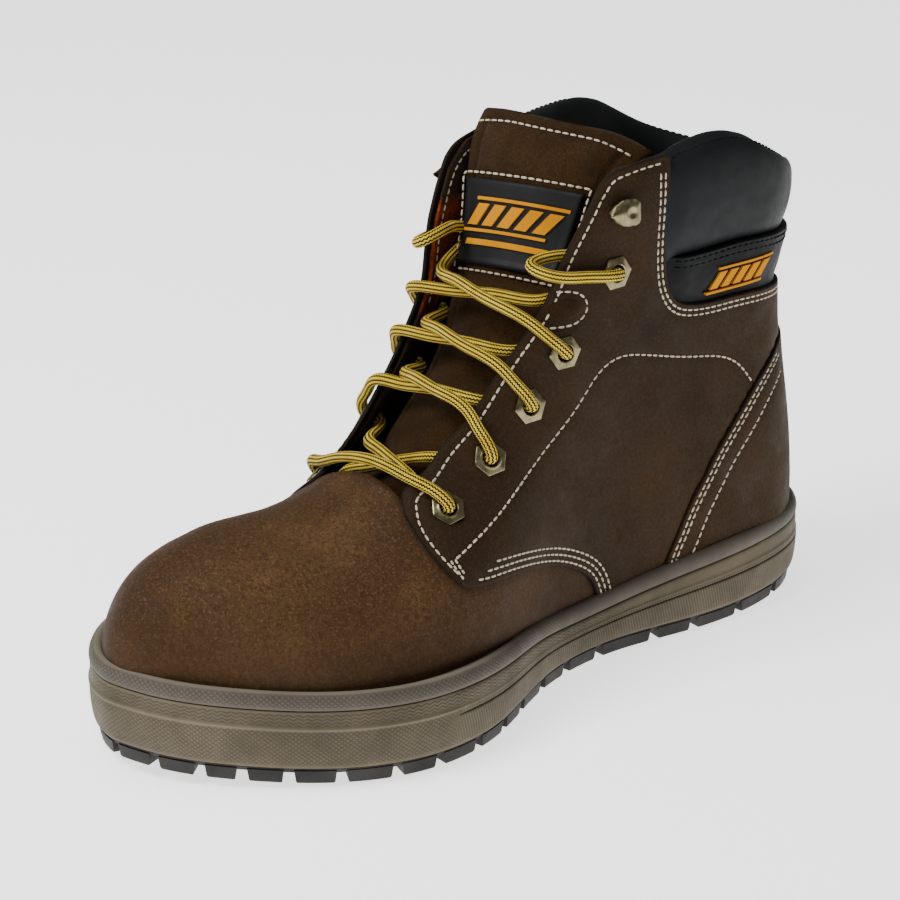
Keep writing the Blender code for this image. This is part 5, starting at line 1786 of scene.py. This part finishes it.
def make_rim():
    """The bead round the top of the cup."""
    outline = [(WALL_THICK, 0.0), (1.2, 0.0), (0.8, 0.05), (0.5, 0.15), (0.35, 0.3),
               (0.35, 0.45), (0.55, 0.62), (1.0, 0.78), (1.7, 0.91), (2.5, 0.98), (3.4, 1.0),
               (4.2, 0.97), (5.2, 0.86), (WALL_THICK, 0.7)]
    loops = [sole_loop(amount, rim_level(share)) for amount, share in outline]
    points = np.vstack(loops)
    faces = flipped(loop_faces(len(loops), len(SOLE_RING), closed=True))
    piece = new_piece("rim_bead", points, faces, RIM)
    piece.data.set_sharp_from_angle(angle=math.radians(55))
    shares = np.array([share for _, share in outline])
    body = np.where(np.array([amount for amount, _ in outline]) < 3.0, 1.0, 0.3)
    hatch = (rising(shares, 0.12, 0.22) * (1 - rising(shares, 0.86, 0.96)) * body)[:, None]
    set_attribute(piece, "hatch", (hatch * rising(SOLE_S, 120, 190)).reshape(-1))
    lit = bell(shares, 0.99, 0.03)[:, None] * (0.2 + rising(SOLE_S, 170, 230))
    set_attribute(piece, "highlight", lit.reshape(-1))
    set_attribute(piece, "along", np.tile(SOLE_ALONG, len(loops)))
    set_attribute(piece, "up", points[:, 2] - np.tile(spring(SOLE_S), len(loops)))
    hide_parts("upper_rim")


EDGE_GROOVES = (34, 58.5, 82.5, 101, 127, 145, 161, 178, 192.5, 209.5, 228.5, 245.5, 264, 279, 291, 301)
CHEVRON = 3.0            # how far the middle of a centre lug points forward
CENTRE_GROOVES = (34, 56, 78, 160, 181, 202, 223, 244, 265)


def turning(outline):
    """1 for a closed outline that runs anticlockwise, -1 for a clockwise one."""
    x, y = outline.T
    return np.sign(np.sum(x * np.roll(y, -1) - y * np.roll(x, -1)))


def shrunk(outline, amount):
    """A closed outline moved inwards by amount."""
    p = np.array(outline, float)
    before = unit(p - np.roll(p, 1, axis=0))
    after = unit(np.roll(p, -1, axis=0) - p)
    mitre = np.stack([-(before + after)[:, 1], (before + after)[:, 0]], -1) * turning(p)
    return p + mitre * (2 / np.maximum(np.sum(mitre ** 2, axis=1), 1.0))[:, None] * amount


def lug(outline, chamfer=1.1):
    """Points and faces of one tread lug: a block with a chamfered lower edge."""
    p = np.array(outline, float)
    if turning(p) > 0:
        p = p[::-1]
    loops = []
    for amount, level in ((chamfer, 0.0), (chamfer * 0.3, 0.35), (0.0, chamfer), (-0.5, 5.2)):
        flat = shrunk(p, amount)
        loops.append(world(flat[:, 0], flat[:, 1], level + spring(p[:, 0])))
    count = len(p)
    faces = flipped(loop_faces(len(loops), count))
    faces.append(tuple(range(count)))
    faces.append(tuple(range(3 * count, 4 * count))[::-1])
    return np.vstack(loops), faces


def along_outline(places, move_in):
    """Points at distances round the sole's outline, moved inwards."""
    whole = SOLE_ALONG[-1] + float(np.linalg.norm(SOLE_RING[0] - SOLE_RING[-1]))
    knots = np.append(SOLE_ALONG, whole)
    flat = SOLE_RING + SOLE_INWARD * move_in
    flat = np.vstack([flat, flat[:1]])
    return np.stack([np.interp(np.mod(places, whole), knots, flat[:, k]) for k in range(2)], -1)


def groove_places():
    """Distances round the outline of the tread's edge grooves."""
    lateral = np.interp(EDGE_GROOVES, SOLE_S[:HALF], SOLE_ALONG[:HALF])
    medial = np.interp(EDGE_GROOVES, SOLE_S[HALF - 1:][::-1], SOLE_ALONG[HALF - 1:][::-1])[::-1]
    toe = np.linspace(lateral[-1], medial[0], 5)[1:-1]
    heel = np.linspace(medial[-1], SOLE_ALONG[-1] + lateral[0], 5)[1:-1]
    return np.concatenate([lateral, toe, medial, heel, [SOLE_ALONG[-1] + lateral[0] + 1.5]])


def level_point(side, s, move_in):
    """x of the outline on one side at s, moved inwards."""
    half = slice(0, HALF) if side > 0 else slice(HALF - 1, None)
    ring = SOLE_RING[half][::side]
    return float(np.interp(s, ring[:, 0], ring[:, 1])) - side * move_in


def make_tread():
    """The outsole: a plate with lugs round its edge and chevrons along its middle."""
    plate = [sole_loop(4.4, 3.6), sole_loop(3.4, 4.2), sole_loop(2.5, 5.9)]
    points = [np.vstack(plate)]
    faces = capped_loops(len(plate))
    outlines = []
    cuts = groove_places()
    for start, end in zip(cuts, cuts[1:]):
        gap = 2.3 if end - start > 14 else 1.6
        outer = along_outline(np.linspace(start + gap, end - gap, 8), 3.0)
        inner = along_outline(np.linspace(start + gap + 0.8, end - gap - 0.2, 8), 13.0)
        outlines.append(np.vstack([outer, inner[::-1]]))
    borders = (22, *CENTRE_GROOVES[:3], 98, 119, 140, *CENTRE_GROOVES[3:], 284)
    for start, end in zip(borders, borders[1:]):
        start, end = start + 1.7, end - 1.7
        low = [level_point(MEDIAL, s, 17.5) for s in (start, end)]
        high = [level_point(LATERAL, s, 17.5) for s in (start, end)]
        outlines.append([(start, low[0]), (end, low[1]),
                         (end + CHEVRON, (low[1] + high[1]) / 2), (end, high[1]),
                         (start, high[0]), (start + CHEVRON, (low[0] + high[0]) / 2)])
    total = len(points[0])
    for outline in outlines:
        block, block_faces = lug(outline)
        faces += [tuple(v + total for v in face) for face in block_faces]
        points.append(block)
        total += len(block)
    piece = new_piece("tread", np.vstack(points), faces, TREAD)
    piece.data.set_sharp_from_angle(angle=math.radians(30))
    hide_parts("outsole")


# ---------------------------------------------------------------- parts shown as they are

PLAIN_PARTS = {
    "footbed": FOAM, "footbed_cover": LINING, "insole_board": BOARD, "cushion_core": FOAM,
    "shank": STEEL, "steel_toe_cap": STEEL, "toe_cap_strip": LABEL, "heel_stiffener": POLYMER,
    "heel_lining": SUEDE, "hook_rivet_lateral": BRASS, "hook_rivet_medial": BRASS,
    "aglet_a": LABEL, "aglet_b": LABEL,
}


def dress_plain_parts():
    """Materials for the CAD parts that are shown as they are."""
    for name, material in PLAIN_PARTS.items():
        for place in frame["nodes"][name].material_slots:
            place.material = material


# ---------------------------------------------------------------- the studio

VIEW_AZIMUTH, VIEW_ELEVATION, VIEW_DISTANCE = 48.59, 21.37, 1.001
VIEW_HEIGHT = 0.070      # height in metres of the point the camera looks at
FLOOR_GLOW = 1.6
SKY_STRENGTH = 0.26
# name, azimuth and elevation in degrees, distance and size in metres, power in watts
LIGHTS = (("key", -14, 50, 1.6, 0.7, 24), ("side", 100, 60, 1.8, 0.8, 1),
          ("top", -60, 78, 1.8, 0.9, 9))


def area_light(name, azimuth, elevation, distance, size, power):
    """A soft light that looks at the boot."""
    lamp = bpy.data.lights.new(name, "AREA")
    lamp.energy = power
    lamp.size = size
    made = scene_object(name, lamp)
    made.location = direction(azimuth, elevation) * distance + Vector((0, 0, 0.08))
    made.rotation_euler = direction(azimuth, elevation).to_track_quat("Z", "Y").to_euler()


def direction(azimuth, elevation):
    """Unit vector from the boot towards a viewer."""
    a, e = math.radians(azimuth), math.radians(elevation)
    return Vector((math.sin(a) * math.cos(e), -math.cos(a) * math.cos(e), math.sin(e)))


def make_studio():
    """A pale floor, a plain sky, three soft lights and the camera."""
    mesh = bpy.data.meshes.new("floor")
    half = 3.0
    corners = [(-half, -half, 0), (half, -half, 0), (half, half, 0), (-half, half, 0)]
    mesh.from_pydata(corners, [], [(0, 1, 2, 3)])
    look = Look("floor_white", 0.9, specular=0.0)
    look.shader.inputs["Emission Color"].default_value = (1, 1, 1, 1)
    look.shader.inputs["Emission Strength"].default_value = FLOOR_GLOW
    mesh.materials.append(look.finish((0.95, 0.95, 0.95, 1)))
    floor = scene_object("floor", mesh)
    sky = bpy.data.worlds.new("studio")
    sky.use_nodes = True
    backdrop = sky.node_tree.nodes["Background"]
    backdrop.inputs["Color"].default_value = (1, 1, 1, 1)
    backdrop.inputs["Strength"].default_value = SKY_STRENGTH
    bpy.context.scene.world = sky
    for light in LIGHTS:
        area_light(*light)
    camera = bpy.data.cameras.new("camera")
    camera.lens = 109.5
    camera.sensor_width = 36
    camera.shift_x = -0.0264
    camera.shift_y = 0.031
    made = scene_object("camera", camera)
    back = direction(VIEW_AZIMUTH, VIEW_ELEVATION)
    made.location = Vector((HEEL_LINE * MM, 0, VIEW_HEIGHT)) + back * VIEW_DISTANCE
    made.rotation_euler = back.to_track_quat("Z", "Y").to_euler()
    bpy.context.scene.camera = made


# ---------------------------------------------------------------- the boot

def build():
    """All pieces of the boot and the studio round it."""
    make_vamp()
    make_heel_cover()
    make_back_strip()
    make_collar()
    for side, tag in ((LATERAL, "lateral"), (MEDIAL, "medial")):
        make_quarter(side, tag)
        make_ankle_panel(side, tag)
        make_lining(side, tag)
        make_facing(side, tag)
        make_eyelets(side, tag)
        make_hook(side, tag)
    make_badge()
    make_tongue()
    make_lace()
    make_cup()
    make_rim()
    make_tread()
    dress_plain_parts()
    make_studio()


build()
